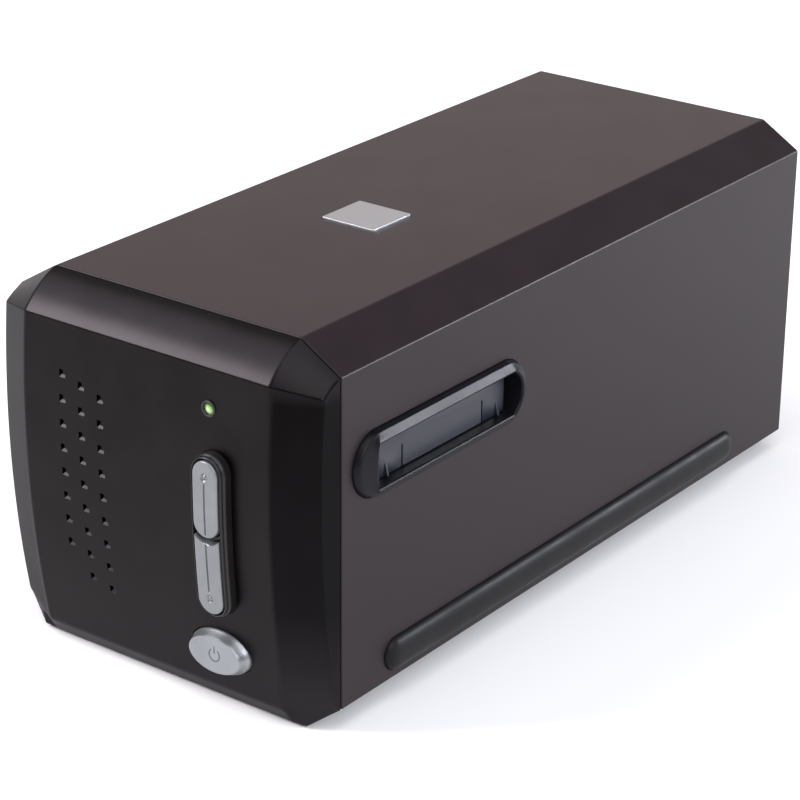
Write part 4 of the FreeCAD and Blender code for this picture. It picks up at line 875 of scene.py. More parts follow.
@dataclass
class SlotShape:
    """The film slot's mouth and the raised ring round it, as flat loops on the side."""

    front_s: float = 13.2
    rear_s: float = 79.7
    bulge: float = 4.0
    floor: float = 73.0
    height: float = 13.5
    ring_front_s: float = 4.9
    ring_rear_s: float = 88.0
    ring_height: float = 20.6
    lip: float = 0.8

    def mouth(self, margin: float) -> Loop:
        """The mouth, straight at its front end and bulged at its rear, grown by a margin."""
        return slot_loop(SEAM + self.front_s - margin, SEAM + self.rear_s, self.floor - margin,
                         self.floor + self.height + margin, 0.0, self.bulge + margin)

    def ring(self, share: float, grow: float = 0.0) -> Loop:
        """The ring's outline between its foot (share 0) and its lip (share 1).

        Every measure of the outline runs straight from its value at the foot to that at the lip:
        ends of the straight runs, half height and sagittas of the two ends.

        Args:
            share: How far the outline lies from the foot to the lip.
            grow: How far it is drawn out all round.

        Returns:
            The loop.
        """
        half_foot = self.ring_height / 2
        middle = self.floor + self.height / 2
        foot = np.array([SEAM + self.ring_front_s + half_foot, SEAM + self.ring_rear_s - half_foot,
                         half_foot, half_foot, half_foot])
        lip = np.array([SEAM + self.front_s, SEAM + self.rear_s,
                        self.height / 2 + self.lip, self.lip, self.bulge + self.lip])
        front, rear, *rest = foot + (lip - foot) * share
        half, front_sag, rear_sag = (measure + grow for measure in rest)
        return slot_loop(front, rear, middle - half, middle + half, front_sag, rear_sag)


@dataclass
class Cover:
    """The painted tunnel with the badge let into its top."""

    tunnel: Tunnel
    slot: SlotShape
    wall: float = 2.2
    edge: float = 0.6
    rim: float = 0.45
    badge_half: Span = (10.0, 9.5)
    badge_s: float = 88.8
    badge_top: float = 119.6
    badge_thickness: float = 1.4
    badge_corner: float = 0.6
    badge_edge: float = 0.2
    badge_gap: float = 0.2
    strip_gap: float = 0.2
    ring_gap: float = 0.3
    neck_gap: float = 0.2
    seat: float = 1.0

    def build(self) -> None:
        """Builds and dresses the cover and the badge."""
        self.cover()
        self.badge()

    def cover(self) -> None:
        """The tunnel, cut for the two slot rings, the badge and the strips' seats."""
        piece = self.tunnel.wall("cover", (0.0, self.wall), (SEAM, REAR), self.tunnel.foot, self.edge,
                                 self.rim).build()
        past = SIDE + OVERRUN
        neck = self.slot.mouth(SlotRing.neck_wall + self.neck_gap)
        recess = self.badge_loop(self.badge_gap)
        cutters = [bar("slots", neck, Plane.SIDE, (-past, past)),
                   bar("recess", recess, Plane.TABLE,
                       (self.badge_top - self.badge_thickness, self.tunnel.height + OVERRUN))]
        for hand in Hand:
            for loop in (GripStrip(hand).outline(-self.strip_gap), self.slot.ring(0.0, self.ring_gap)):
                depths = sorted((hand.value * (SIDE - self.seat), hand.value * past))
                cutters.append(bar("seat", loop, Plane.SIDE, depths))
        carve(piece, cutters)
        settle(piece, "case", COVER_PAINT, "cover_plastic", "housing_cover")

    def badge_loop(self, grow: float) -> Loop:
        """The badge's four corners, grown by an amount."""
        reach = np.array(self.badge_half) + grow
        return box_loop(-reach, reach) + np.array([0.0, SEAM + self.badge_s])

    def badge(self) -> None:
        """The bare badge: a rectangle with small round corners and a rounded edge.

        Rings run from its foot up the wall and over a quarter round of radius r, each inset by
        r (1 - cos a) and raised by r sin a, and a cap closes the top.
        """
        half = np.array(self.badge_half)
        corners = box_loop(-half, half)
        start = [(0.0, -half[1])]
        closed = np.concatenate([start, corners[1:], corners[:1], start])
        loop = soften(closed, [0, *[self.badge_corner] * 4, 0], steps=4)[:-1]
        inset, fall = round_share(steps=4)
        shrink = 1 - self.badge_edge * inset[:, None, None] / half
        rings = loop[None] * shrink + np.array([0.0, SEAM + self.badge_s])
        heights = self.badge_top - self.badge_edge * fall
        foot = Plane.TABLE.lift(rings[0], self.badge_top - self.badge_thickness)
        stack = np.concatenate([foot[None], Plane.TABLE.lift(rings, heights[:, None])])
        piece = Shell("badge").tube(stack, True, True).build(sharp=50)
        settle(piece, "case", BADGE_METAL, "badge_metal", "badge_plate")


@dataclass
class GripStrip:
    """The crowned rubber strip along the foot of one side."""

    hand: Hand
    front_s: float = 20.3
    rear_s: float = 216.0
    foot: float = 9.3
    height: float = 10.6
    proud: float = 2.5
    seat: float = 1.0
    flank: float = 2.6
    crown: float = 0.55
    fill: float = 0.995
    rings: int = 15

    def outline(self, inset: float) -> Loop:
        """The strip's outline with round ends.

        Args:
            inset: How far it is drawn in, or out below 0.

        Returns:
            The loop.
        """
        half = self.height / 2
        middle = self.foot + half
        return slot_loop(SEAM + self.front_s + half, SEAM + self.rear_s - half,
                         middle - half + inset, middle + half - inset, half - inset, half - inset)

    def build(self) -> None:
        """Builds and dresses the strip.

        The outline's rings shrink almost to a line. A ring at inset d has the height
        proud (1 - (1 - d / half)^flank)^crown, so the strip has steep flanks and a crowned face.
        """
        half = self.height / 2
        inset = half * (1 - np.cos(np.linspace(0, math.pi / 2, self.rings))) * self.fill
        rise = self.proud * (1 - (1 - inset / half) ** self.flank) ** self.crown
        rings = np.stack([self.outline(d) for d in inset])
        depth = self.hand.value * (SIDE + rise)
        foot = Plane.SIDE.lift(rings[0], self.hand.value * (SIDE - self.seat))
        stack = np.concatenate([foot[None], Plane.SIDE.lift(rings, depth[:, None])])
        piece = Shell(f"grip_strip_{self.hand.word}").tube(stack, True, True).build(sharp=50)
        settle(piece, "case", STRIP_RUBBER, "strip_rubber", f"side_strip_{self.hand.word}", level=False)


@dataclass
class SlotRing:
    """The convex ring round the film slot of one side, with its neck through the cover."""

    hand: Hand
    slot: SlotShape
    proud: float = 3.3
    root: float = 1.0
    neck: float = 9.0
    neck_wall: float = 1.6
    turn: float = 0.2
    turn_rise: float = 0.62
    turn_steps: int = 6
    band_steps: int = 8

    def build(self) -> None:
        """Builds and dresses the ring.

        Over the turn, a share of its width, the ring rises as a parabola by turn_rise, a share of
        its height, and then evenly to the lip, as a band that faces a little outwards. From the
        lip a small quarter round leads into the mouth, whose wall runs in to the neck's end, out
        again along the neck's outside and back to the ring's foot.
        """
        share = np.concatenate([np.linspace(0, self.turn, self.turn_steps + 1),
                                np.linspace(self.turn, 1, self.band_steps + 1)[1:]])
        bend = 1 - (1 - np.minimum(share / self.turn, 1.0)) ** 2
        band = np.maximum(share - self.turn, 0.0) / (1 - self.turn)
        rise = self.proud * (self.turn_rise * bend + (1 - self.turn_rise) * band)
        lip, mouth, neck = self.slot.ring(1.0), self.slot.mouth(0.0), self.slot.mouth(self.neck_wall)
        parts = [self.lift(self.slot.ring(0.0), -self.root)]
        parts += [self.lift(self.slot.ring(b), h) for b, h in zip(share, rise)]
        inset, fall = round_share(steps=4)
        for gone, drop in zip(inset[::-1][1:], fall[::-1][1:]):
            parts.append(self.lift(lip + (mouth - lip) * (1 - gone), self.proud - self.slot.lip * drop))
        parts += [self.lift(mouth, -self.neck), self.lift(neck, -self.neck), self.lift(neck, -self.root)]
        piece = Shell(f"slot_ring_{self.hand.word}").tube(np.stack(parts + parts[:1])).build(sharp=40)
        settle(piece, "case", RING_PLASTIC, "ring_plastic", f"slot_bezel_{self.hand.word}")

    def lift(self, loop: Loop, proud: float) -> Loop:
        """Puts a loop on this side, so far proud of the cover."""
        return Plane.SIDE.lift(loop, self.hand.value * (SIDE + proud))


# The front

FACET_STEPS = 10


@dataclass(frozen=True)
class Section:
    """An upright section through the bezel.

    It names the heights of the rear top, of the face's two creases and of the foot, how far the
    face lies back and the bevel ahead, and the shares of the wall by which the inside differs.
    """

    top: float
    crease: float
    foot: float
    low: float
    back_set: float
    bevel: float
    bevel_wall: float
    crease_wall: float = 0.6
    foot_wall: float = 0.4
    crown: float = 31.0

    def corners(self, inset: float) -> np.ndarray:
        """The section's five corners: rear top, upper crease, lower crease, bevel and rear foot.

        Args:
            inset: How far the section is drawn in.

        Returns:
            The corners as (y, z).
        """
        crease = self.crease - self.crease_wall * inset
        foot = self.foot + self.foot_wall * inset
        ahead = self.bevel - self.bevel_wall * inset
        return np.array([
            (BACK, self.top - inset),
            (SEAM - face_depth(crease) + self.back_set + inset, crease),
            (SEAM - face_depth(foot) + self.back_set + inset, foot),
            (min(SEAM - ahead, BACK), self.low + inset),
            (BACK, self.low + inset),
        ])

    def line(self, inset: float, shares: np.ndarray) -> np.ndarray:
        """The section's whole line.

        The top facet is a circle arc of the crown's radius between the rear top and the upper
        crease. The face between the creases is the barrel's own curve, its height z running
        evenly with the share.

        Args:
            inset: How far it is drawn in.
            shares: Places down the face, from 0 at the upper crease to 1 at the lower one.

        Returns:
            The line's points as (y, z).
        """
        back, upper, lower, bevel, foot = self.corners(inset)
        half = np.linalg.norm(upper - back) / 2
        facet = arc(back, upper, self.crown - math.sqrt(self.crown ** 2 - half ** 2), FACET_STEPS)
        height = upper[1] + (lower[1] - upper[1]) * shares
        face = np.stack([upper[0] + face_depth(upper[1]) - face_depth(height), height], axis=1)
        return np.concatenate([facet, face[1:], [bevel, foot]])


MIDDLE = Section(top=119.0, crease=108.9, foot=6.0, low=0.8, back_set=0.0, bevel=6.0, bevel_wall=1.0)
FLANK = Section(top=110.5, crease=106.6, foot=9.9, low=7.0, back_set=6.4, bevel=1.1, bevel_wall=0.2)


@dataclass(frozen=True)
class Lip:
    """A lip behind the bezel: insets of its two faces, its two depths from the back, its rims' rounding."""

    name: str
    insets: Span
    depths: Span
    rim: float


@dataclass
class Bezel:
    """The faceted front shell with its pin dimples, its openings and its lips into the cover.

    The face ends at the waist on either side and the foot's corner begins at the corner. The
    dimples stand in columns, each sunk by a drop against the one before. The grid's lines close up
    at the dimples, and the rest of them are listed here.
    """

    tunnel: Tunnel
    wall: float = 2.4
    waist: float = 46.0
    waist_wall: float = 0.3
    corner: float = 51.5
    corner_wall: float = 0.6
    inner_round: float = 0.1
    columns: tuple[float, ...] = (-30.7, -23.35, -16.0)
    rows: tuple[int, ...] = (8, 9, 9)
    top_row: float = 93.4
    pitch: float = 7.8
    drop: float = 2.1
    sink_reach: float = 2.1
    cell: float = 2.0
    pit: float = 1.22
    pit_depth: float = 1.1
    pit_wall: float = 0.12
    slope: float = 0.75
    ledge: float = -0.29
    pocket: float = 0.3
    pocket_wall: float = 0.15
    left_lines: tuple[float, ...] = (-42.0, -36.0)
    right_lines: tuple[float, ...] = (-8.0, 0.0, 10.0, 20.0, 30.0, 40.0)
    top_lines: tuple[float, ...] = (105.5, 101.0, 97.5)
    foot_lines: tuple[float, ...] = (22.0, 16.0, 10.0)
    side_round: float = 1.0
    corner_round: float = 0.7
    crease_round: float = 0.4
    foot_round: float = 1.2
    bevel_round: float = 0.8
    lip_foot: float = 17.2
    lip_corner: float = 0.8
    lips: tuple[Lip, ...] = (Lip("bezel_lip", (2.4, 4.0), (-1.0, 4.0), 0.3),
                             Lip("bezel_rim", (1.0, 4.0), (-2.0, -0.05), 0.1))

    def row_heights(self) -> np.ndarray:
        """Heights of the dimples' rows, from the top down."""
        return self.top_row - self.pitch * np.arange(max(self.rows))

    def lattice(self) -> tuple[np.ndarray, np.ndarray]:
        """Places of the grid's lines across the face and down it, close together at the dimples.

        Returns:
            The places from left to right, and the heights from the upper crease down.
        """
        near = np.array([0.0, 0.15, 0.3, 0.5, 0.8, 1.0, 1.1, self.pit, 1.5, self.cell])
        near = np.concatenate([-near[:0:-1], near])
        across = (np.array(self.columns)[:, None] + near).ravel()
        down = (self.row_heights()[:, None] - near).ravel()
        across = [[-self.waist], self.left_lines, across, self.right_lines, [self.waist]]
        down = [[MIDDLE.crease], self.top_lines, down, self.foot_lines, [MIDDLE.foot]]
        return np.concatenate(across), np.concatenate(down)

    def dimple(self, across: np.ndarray, down: np.ndarray) -> tuple[np.ndarray, np.ndarray, np.ndarray]:
        """Shears the grid round the dimples and sinks them.

        Rows sink by the drop from one column to the next. At (u, v) from a dimple's middle its
        lower part, below the ledge, is a ramp slope (v + pit) deep and as wide as the dimple. Above
        it lies a pocket, pit_depth deep, from the left wall to u = pocket. The walls take
        pit_wall, and the pocket's right one takes pocket_wall.

        Args:
            across: Places of the lines across the face.
            down: Heights of the lines down it.

        Returns:
            X, Z and depth of every grid point.
        """
        columns, rows = np.array(self.columns), self.row_heights()
        ends = (columns[:, None] + np.array([-self.sink_reach, self.sink_reach])).ravel()
        knots = np.concatenate([[-self.waist], ends, [self.right_lines[0], self.waist]])
        steps = np.concatenate([[0.0], np.repeat(np.arange(float(len(columns))), 2), [0.0, 0.0]])
        inside = (down < self.top_lines[-1]) & (down > self.foot_lines[0])
        sink = np.interp(across, knots, steps * self.drop)[:, None] * inside
        row_of = np.abs(down[:, None] - rows).argmin(axis=1)
        column_of = np.abs(across[:, None] - columns).argmin(axis=1)
        x, z = np.meshgrid(across, down, indexing="ij")
        du = x - columns[column_of][:, None]
        dv = z - rows[row_of][None]
        flanks = np.clip((self.pit - np.abs(du)) / self.pit_wall, 0.0, 1.0)
        ramp = self.slope * np.clip(dv + self.pit, 0.0, None) * flanks
        left = np.clip((self.pit + du) / self.pit_wall, 0.0, 1.0)
        right = np.clip((self.pocket - du) / self.pocket_wall, 0.0, 1.0)
        top = np.clip((self.pit - dv) / self.pit_wall, 0.0, 1.0)
        there = np.array(self.rows)[column_of][:, None] > row_of[None]
        near = (np.abs(du) < self.cell) & (np.abs(dv) < self.cell)
        depth = np.where(dv < self.ledge, ramp, self.pit_depth * left * right * top) * there * near
        return x, z - sink, depth

    def net(self, inset: float) -> Grid:
        """The shell's outer or inner surface as one grid, sides included.

        Between the two sections the points run straight: the share is 0 out to the waist, reaches
        its part of the way where the foot's corner begins, and is 1 at the side, but the bevel and
        the foot stay with the middle section until that corner. Beyond the side every point goes
        straight back.

        Args:
            inset: 0 for the outside, the wall's thickness for the inside.

        Returns:
            The grid, first axis from left to right, second from the rear top down to the rear foot.
        """
        across, down = self.lattice()
        shares = (MIDDLE.crease - down) / (MIDDLE.crease - MIDDLE.foot)
        middle, edge = MIDDLE.line(inset, shares), FLANK.line(inset, shares)
        count = len(middle)
        centre = np.empty((len(across), count, 3))
        centre[..., 0] = (across * (self.waist - self.waist_wall * inset) / self.waist)[:, None]
        centre[..., 1:] = middle
        if inset == 0:
            face = slice(FACET_STEPS, FACET_STEPS + len(down))
            x, z, depth = self.dimple(across, down)
            centre[:, face] = np.stack([x, SEAM - face_depth(z) + depth, z], axis=-1)
        turn = middle + (edge - middle) * ((self.corner - self.waist) / (SIDE - self.waist))
        turn[-2:] = middle[-2:]
        rear = np.stack([np.full(count, BACK), edge[:, 1]], axis=1)
        parts = [(self.corner - self.corner_wall * inset, turn), (SIDE - inset, edge), (SIDE - inset, rear)]
        left, right = (np.stack([np.insert(line, 0, hand.value * x, axis=1) for x, line in parts])
                       for hand in Hand)
        return np.concatenate([left[::-1], centre, right])

    def rounded(self, net: Grid, share: float) -> Grid:
        """Rounds a net's creases: sides, waists, the upper and the lower crease and the bevel.

        Args:
            net: The net.
            share: Share of the full reaches that is used.

        Returns:
            The longer net.
        """
        across, down = np.zeros(net.shape[0]), np.zeros(net.shape[1])
        across[[1, -2]], across[[3, -4]] = self.side_round, self.corner_round
        down[[FACET_STEPS, -3, -2]] = self.crease_round, self.foot_round, self.bevel_round
        net = soften(net, across * share, steps=6)
        return soften(net.swapaxes(0, 1), down * share, steps=5).swapaxes(0, 1)

    def build(self) -> None:
        """Builds and dresses the bezel and, behind it, the lips that enter the cover."""
        outside = self.rounded(self.net(0.0), 1.0)
        inside = self.rounded(self.net(self.wall), self.inner_round)
        piece = closed_slab("front_bezel_shell", outside, inside).build()
        carve(piece, [part.opening() for part in (KeyCluster(), PowerButton(), StatusLamp())])
        settle(piece, "case", BEZEL_PAINT, "bezel_plastic", "front_bezel")
        for lip in self.lips:
            depths = (BACK + lip.depths[0], BACK + lip.depths[1])
            wall = self.tunnel.wall(lip.name, lip.insets, depths, self.lip_foot, self.lip_corner, lip.rim)
            settle(wall.build(), "case", BLACK_PLASTIC, "bezel_plastic")


class Key(Enum):
    """One of the two scan keys."""

    UPPER = "upper"
    LOWER = "lower"


@dataclass(frozen=True)
class Dent:
    """A dent in a key, with its depth, its reach from the middle and the width of its flank."""

    depth: float
    reach: float
    flank: float

    def at(self, distance: np.ndarray) -> np.ndarray:
        """The depth at a distance d from the middle: depth times smooth((reach - d) / flank)."""
        return self.depth * smooth((self.reach - distance) / self.flank)


@dataclass
class KeyCluster:
    """The raised collar with its two silver keys.

    The keys meet in the split, where a curved septum keeps a gap to each. Every key has a pip in
    a round hollow near its far end and an engraved line from the pip to the split. The collar's
    steps are pairs of an inset and a height over the face.
    """

    column: float = 27.2
    half_width: float = 4.5
    top: float = 83.5
    split: float = 59.8
    foot: float = 35.0
    proud: float = 4.6
    gap: float = 0.5
    cap_depth: float = 7.0
    edge: float = 0.55
    crown: float = 0.12
    collar_wall: float = 1.1
    collar_proud: float = 4.0
    collar_gap: float = 0.15
    back: float = SEAM - 8.0
    outer_steps: tuple[Span, ...] = ((0.0, 1.9), (0.08, 2.35), (0.25, 2.65), (0.45, 2.8), (0.52, 2.95),
                                     (0.56, 3.4), (0.68, 3.75), (0.85, 3.95))
    inner_steps: tuple[Span, ...] = ((0.12, 4.0), (0.03, 3.93), (0.0, 3.75))
    septum: float = 0.9
    septum_low: float = 2.0
    septum_turn: float = 1.25
    septum_steps: int = 32
    rim_share: float = 0.1
    flat_lines: int = 25
    rim_lines: int = 8
    straight_lines: int = 60
    upper_pip: float = 4.9
    lower_pip: float = 5.0
    hollow: Dent = Dent(depth=0.5, reach=1.4, flank=0.45)
    dome: Dent = Dent(depth=0.53, reach=0.9, flank=0.75)
    line: Dent = Dent(depth=0.4, reach=0.36, flank=0.2)
    line_gap: float = 0.9
    line_pip_gap: float = 2.0

    def loop(self, grow: float) -> Loop:
        """The upright loop with round ends round both keys.

        Args:
            grow: How far it is drawn out from the keys' own outline.

        Returns:
            The loop.
        """
        half = self.half_width + grow
        flat = slot_loop(self.foot - grow + half, self.top + grow - half, -half, half, half, half)
        return np.stack([self.column - flat[:, 1], flat[:, 0]], axis=1)

    def opening(self) -> bpy.types.Object:
        """The bezel's hole for the collar."""
        loop = self.loop(self.gap + self.collar_wall + self.collar_gap)
        return bar("collar_hole", loop, Plane.FACE, HOLE_DEPTHS)

    def build(self) -> None:
        """Builds and dresses the collar, the septum and the keys."""
        self.collar()
        self.divider()
        for key in Key:
            self.cap(key)

    def follow(self, loop: Grid, proud: np.ndarray | float) -> Grid:
        """Puts flat points so far proud of the barrel face."""
        return Plane.FACE.lift(loop, SEAM - face_depth(loop[..., 1]) - proud)

    def collar(self) -> None:
        """The collar: its outer wall, a low step, a rounded rim and the inner wall.

        Rings follow the loop, each with an inset from the collar's outside and then from its
        inside, and a height: from the back up the outer wall to a step, over the rim as a quarter
        round, and down inside to the back again.
        """
        outer = self.gap + self.collar_wall
        steps = [(outer, 0.0), *((outer - inset, height) for inset, height in self.outer_steps),
                 *((self.gap + inset, height) for inset, height in self.inner_steps), (self.gap, 0.0)]
        rings = [self.follow(self.loop(grow), height) for grow, height in steps]
        rings[0][..., 1] = rings[-1][..., 1] = self.back
        piece = Shell("key_collar_ring").tube(np.stack(rings + rings[:1])).build(sharp=40)
        settle(piece, "case", COLLAR_PLASTIC, "collar_plastic", "key_collar")

    def divider(self) -> None:
        """The septum: an arc round the upper key's end, carried from the back to its low front, in black
        that partly stands in for the shade in the gap between the keys.
        """
        angle = np.linspace(-self.septum_turn, self.septum_turn, self.septum_steps + 1)
        hub = np.array([self.column, self.split + self.half_width])
        ray = np.stack([np.sin(angle), -np.cos(angle)], axis=1)
        reach = self.half_width + self.gap
        flat = np.concatenate([hub + reach * ray, (hub + (reach + self.septum) * ray)[::-1]])
        rings = [Plane.FACE.lift(flat, self.back), self.follow(flat, self.collar_proud - self.septum_low)]
        piece = Shell("key_septum").tube(np.stack(rings), True, True).build()
        # Black plastic, partly painted shade for the gap between the keys.
        settle(piece, "case", BLACK_PLASTIC, "collar_plastic")

    def grid(self, key: Key) -> tuple[np.ndarray, np.ndarray, np.ndarray]:
        """A key's outline filled with a grid.

        Across the key a runs from -1 to 1. Down a round end, the half square of points
        (a, c) becomes a half disc, its rings at distance m scaled onto circles of radius m. The
        hollow top of the lower key is the arc of the septum, and the rows between it and the
        round foot are spaced evenly.

        Args:
            key: Which key.

        Returns:
            X and Z of every grid point, and its distance from the outline.
        """
        upper = key is Key.UPPER
        half = self.half_width
        low = (self.split if upper else self.foot) + half
        high = self.top - half if upper else self.split + half
        rim = 1 - self.rim_share * (1 - np.sin(np.linspace(0, math.pi / 2, self.rim_lines)))
        line = np.concatenate([np.linspace(0.0, rim[0], self.flat_lines), rim[1:]])
        end = line[1:]
        straight = np.linspace(0.0, 1.0, self.straight_lines)
        rows = np.concatenate([-end[::-1], straight, (1 + end) if upper else []])
        across, down = np.meshgrid(np.concatenate([-end[::-1], line]), rows, indexing="ij")
        over = np.where(down < 0, -down, np.where(down > 1, down - 1, 0.0))
        ring = np.maximum(np.abs(across), over)
        scale = ring / np.maximum(np.hypot(across, over), TINY)
        x = half * across * scale
        z = np.where(down < 0, low - half * over * scale, high + half * over * scale)
        edge = half * (1 - ring)
        between = (down >= 0) & (down <= 1)
        top = high if upper else high - np.sqrt((half + 2 * self.gap + self.septum) ** 2 - x ** 2)
        z = np.where(between, low + (top - low) * down, z)
        if not upper:
            edge = np.where(between, np.minimum(edge, (top - low) * (1 - down)), edge)
        return x + self.column, z, edge

    def cap(self, key: Key) -> None:
        """A key: a crowned face with a rounded edge, an engraved line and a pip, and its rod.

        The face stands proud, less the edge's fall, r - sqrt(r^2 - (r - d)^2) at a distance d from
        the outline, less a crown that grows with the square of the distance from the column, less
        the hollow and the line, and with the dome of the pip inside the hollow.

        Args:
            key: Which key.
        """
        upper = key is Key.UPPER
        x, z, edge = self.grid(key)
        beside = np.abs(x - self.column)
        near = np.clip(self.edge - edge, 0.0, self.edge)
        fall = self.edge - np.sqrt(self.edge ** 2 - near ** 2)
        if upper:
            pip = self.top - self.upper_pip
            low, high = self.split + self.line_gap, pip - self.line_pip_gap
        else:
            pip = self.foot + self.lower_pip
            low, high = pip + self.line_pip_gap, self.split
        gone = np.hypot(x - self.column, z - pip)
        groove = self.line.at(beside) * (z > low) * (z < high)
        crown = self.crown * (beside / self.half_width) ** 2
        proud = self.proud - fall - self.hollow.at(gone) + self.dome.at(gone) - groove - crown
        front = self.follow(np.stack([x, z], axis=-1), proud)
        back = front.copy()
        back[..., 1] = SEAM - BARREL_PROUD - self.proud + self.cap_depth
        name, body = f"{key.value}_scan_key", f"{key.value}_key"
        piece = closed_slab(f"{name}_cap", front, back).build(sharp=50)
        settle(piece, body, KEY_PAINT, "key_paint", name, level=False)
        middle = (self.column, (self.split + (self.top if upper else self.foot)) / 2)
        settle(push_rod(f"{name}_stem", middle, back[0, 0, 1]), body, KEY_PAINT, "key_paint")


@dataclass
class PowerButton:
    """The silver oval button with a generic power sign.

    Its shoulder is a list of insets, each with its depth behind the front.
    """

    column: float = 25.4
    height: float = 19.8
    half_x: float = 11.0
    half_z: float = 7.1
    proud: float = 3.8
    gap: float = 0.35
    depth: float = 6.0
    shoulder: tuple[Span, ...] = ((0.0, 3.5), (0.12, 3.1), (0.5, 2.55), (0.85, 1.8), (1.15, 0.95),
                                  (1.35, 0.35), (1.5, 0.08), (1.7, 0.0))
    dish: float = 0.2
    dish_flank: float = 2.4
    dish_fill: float = 0.98
    dish_rings: int = 8
    least: float = 0.05
    sign_radii: Span = (1.75, 2.15)
    sign_turn: Span = (125.0, 415.0)
    sign_steps: int = 48
    sign_bar: tuple[Span, Span] = ((-0.2, 0.5), (0.2, 2.8))
    sign_sink: float = 0.2
    sign_proud: float = 0.04

    def opening(self) -> bpy.types.Object:
        """The bezel's hole for the button."""
        loop = oval_loop(self.half_x + self.gap, self.half_z + self.gap)
        return bar("button_hole", loop + np.array([self.column, self.height]), Plane.FACE, HOLE_DEPTHS)

    def build(self) -> None:
        """Builds and dresses the cap, its rod and the sign.

        The cap is a stack of ellipses, each with an inset and a depth behind the front: a shoulder
        that grows steeper from its top to the wall and, inside it, a face dished by a smooth step.
        """
        centre = np.array([self.column, self.height])
        front = SEAM - face_depth(self.height) - self.proud
        edge = self.shoulder[-1][0]
        width = (self.half_z - edge) * self.dish_fill
        share = np.linspace(0.0, 1.0, self.dish_rings + 1)[1:]
        face = zip(edge + width * share, self.dish * smooth(share * self.dish_flank))
        loops = []
        for inset, fall in [(0.0, self.depth), *self.shoulder, *face]:
            loop = oval_loop(self.half_x - inset, max(self.half_z - inset, self.least)) + centre
            loops.append(Plane.FACE.lift(loop, front + fall))
        piece = Shell("power_cap").tube(np.stack(loops), True, True).build(sharp=28)
        settle(piece, "power_key", POWER_PAINT, "power_paint", "power_button", level=False)
        rod = push_rod("power_stem", centre, front + self.depth)
        settle(rod, "power_key", POWER_PAINT, "power_paint")
        self.sign(front + self.dish)

    def sign(self, face: float) -> None:
        """The power sign as a thin inlay: an open ring and a bar through its gap.

        Args:
            face: Depth of the dished face.
        """
        angle = np.linspace(*np.radians(self.sign_turn), self.sign_steps + 1)
        ray = np.stack([np.cos(angle), np.sin(angle)], axis=1)
        inner, outer = (radius * ray for radius in self.sign_radii)
        depths = (face + self.sign_sink, face - self.sign_proud)
        shell = Shell("power_sign")
        for loop in (np.concatenate([inner, outer[::-1]]), box_loop(*self.sign_bar)):
            placed = loop + np.array([self.column, self.height])
            shell.tube(np.stack([Plane.FACE.lift(placed, depth) for depth in depths]), True, True)
        settle(shell.build(), "power_key", MARK_INK, "power_paint")


@dataclass
class StatusLamp:
    """The green ready lamp in its thin ring.

    The ring's profile is three lists of a step out, from the ring's inner radius, its outer one
    and its inner one again, each with a depth behind the face.
    """

    column: float = 24.9
    height: float = 97.2
    radius: float = 1.95
    ring: float = 2.5
    gap: float = 0.1
    dome: float = 0.5
    tip: float = 0.02
    dome_rings: int = 9
    points: int = 40
    overlap: float = 0.05
    ring_proud: float = 0.45
    inner_steps: tuple[Span, ...] = ((0.0, 1.2), (0.0, -0.3), (0.12, -0.42), (0.27, -0.45))
    outer_steps: tuple[Span, ...] = ((-0.1, -0.36), (0.0, -0.15), (0.0, 0.02))
    back_steps: tuple[Span, ...] = ((0.08, 0.1), (0.08, 1.2))
    length: float = 11.6

    def oval(self, radius: float, depth: float) -> Loop:
        """A circle round the lamp's middle, so far behind the face, or ahead of it below 0."""
        loop = oval_loop(radius, radius, self.points) + np.array([self.column, self.height])
        return Plane.FACE.lift(loop, SEAM - face_depth(self.height) + depth)

    def opening(self) -> bpy.types.Object:
        """The bezel's hole for the lamp."""
        loop = self.oval(self.radius + self.gap, 0.0)[:, [0, 2]]
        return bar("lamp_hole", loop, Plane.FACE, HOLE_DEPTHS)

    def build(self) -> None:
        """Builds the domed light pipe and its ring.

        The dome is a paraboloid: a ring at a share s of the pipe's radius lies dome s^2 deep.
        """
        reach = self.radius - self.gap
        share = np.linspace(self.tip, 1.0, self.dome_rings)
        rings = [self.oval(reach * s, self.dome * s ** 2) for s in share]
        rings.append(self.oval(reach, self.length - self.ring_proud))
        pipe = Shell("lamp_pipe").tube(np.stack(rings), True, True).build(sharp=50)
        settle(pipe, "case", LAMP, "lens_plastic", "status_lens", level=False)
        inner = self.radius - self.overlap
        profile = ((inner, self.inner_steps), (self.ring, self.outer_steps), (inner, self.back_steps))
        rings = [self.oval(radius + step, depth) for radius, steps in profile for step, depth in steps]
        ring = Shell("lamp_ring").tube(np.stack(rings + rings[:1])).build(sharp=50)
        settle(ring, "case", BLACK_PLASTIC, "lens_plastic")


# Doors, underside, rear and inside

def dress_copies(body: str, rows: Sequence[tuple[str, str, float, Finish, str]]) -> None:
    """Shows CAD nodes as copies with broken edges.

    Args:
        body: The body that they move with.
        rows: For each copy its node, name, width of edges, finish and material slot.
    """
    for node, name, width, finish, slot in rows:
        settle(trimmed_copy(node, name, width), body, finish, slot, node, level=False)


@dataclass
class DustDoor:
    """The flap in one film slot."""

    hand: Hand
    edge: float = 0.12

    def build(self) -> None:
        """Dresses a copy of the door, and its pin."""
        word = self.hand.word
        dress_copies(f"{word}_door", [(f"dust_door_{word}", f"door_flap_{word}", self.edge, DOOR_PLASTIC,
                                       "door_plastic")])
        STEEL.dress(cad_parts[f"door_pin_{word}"])


@dataclass
class Underside:
    """The tray, its rubber feet and the screws."""

    edge: float = 0.5
    screw_edge: float = 0.2

    def build(self) -> None:
        """Dresses copies of the underside's nodes."""
        dress_copies("case", [
            ("base_tray", "bottom_tray", self.edge, TRAY_PLASTIC, "tray_plastic"),
            ("rubber_feet", "soft_feet", self.edge, FOOT_RUBBER, "foot_rubber"),
            ("case_screws", "bottom_screws", self.screw_edge, STEEL, "screw_steel"),
        ])


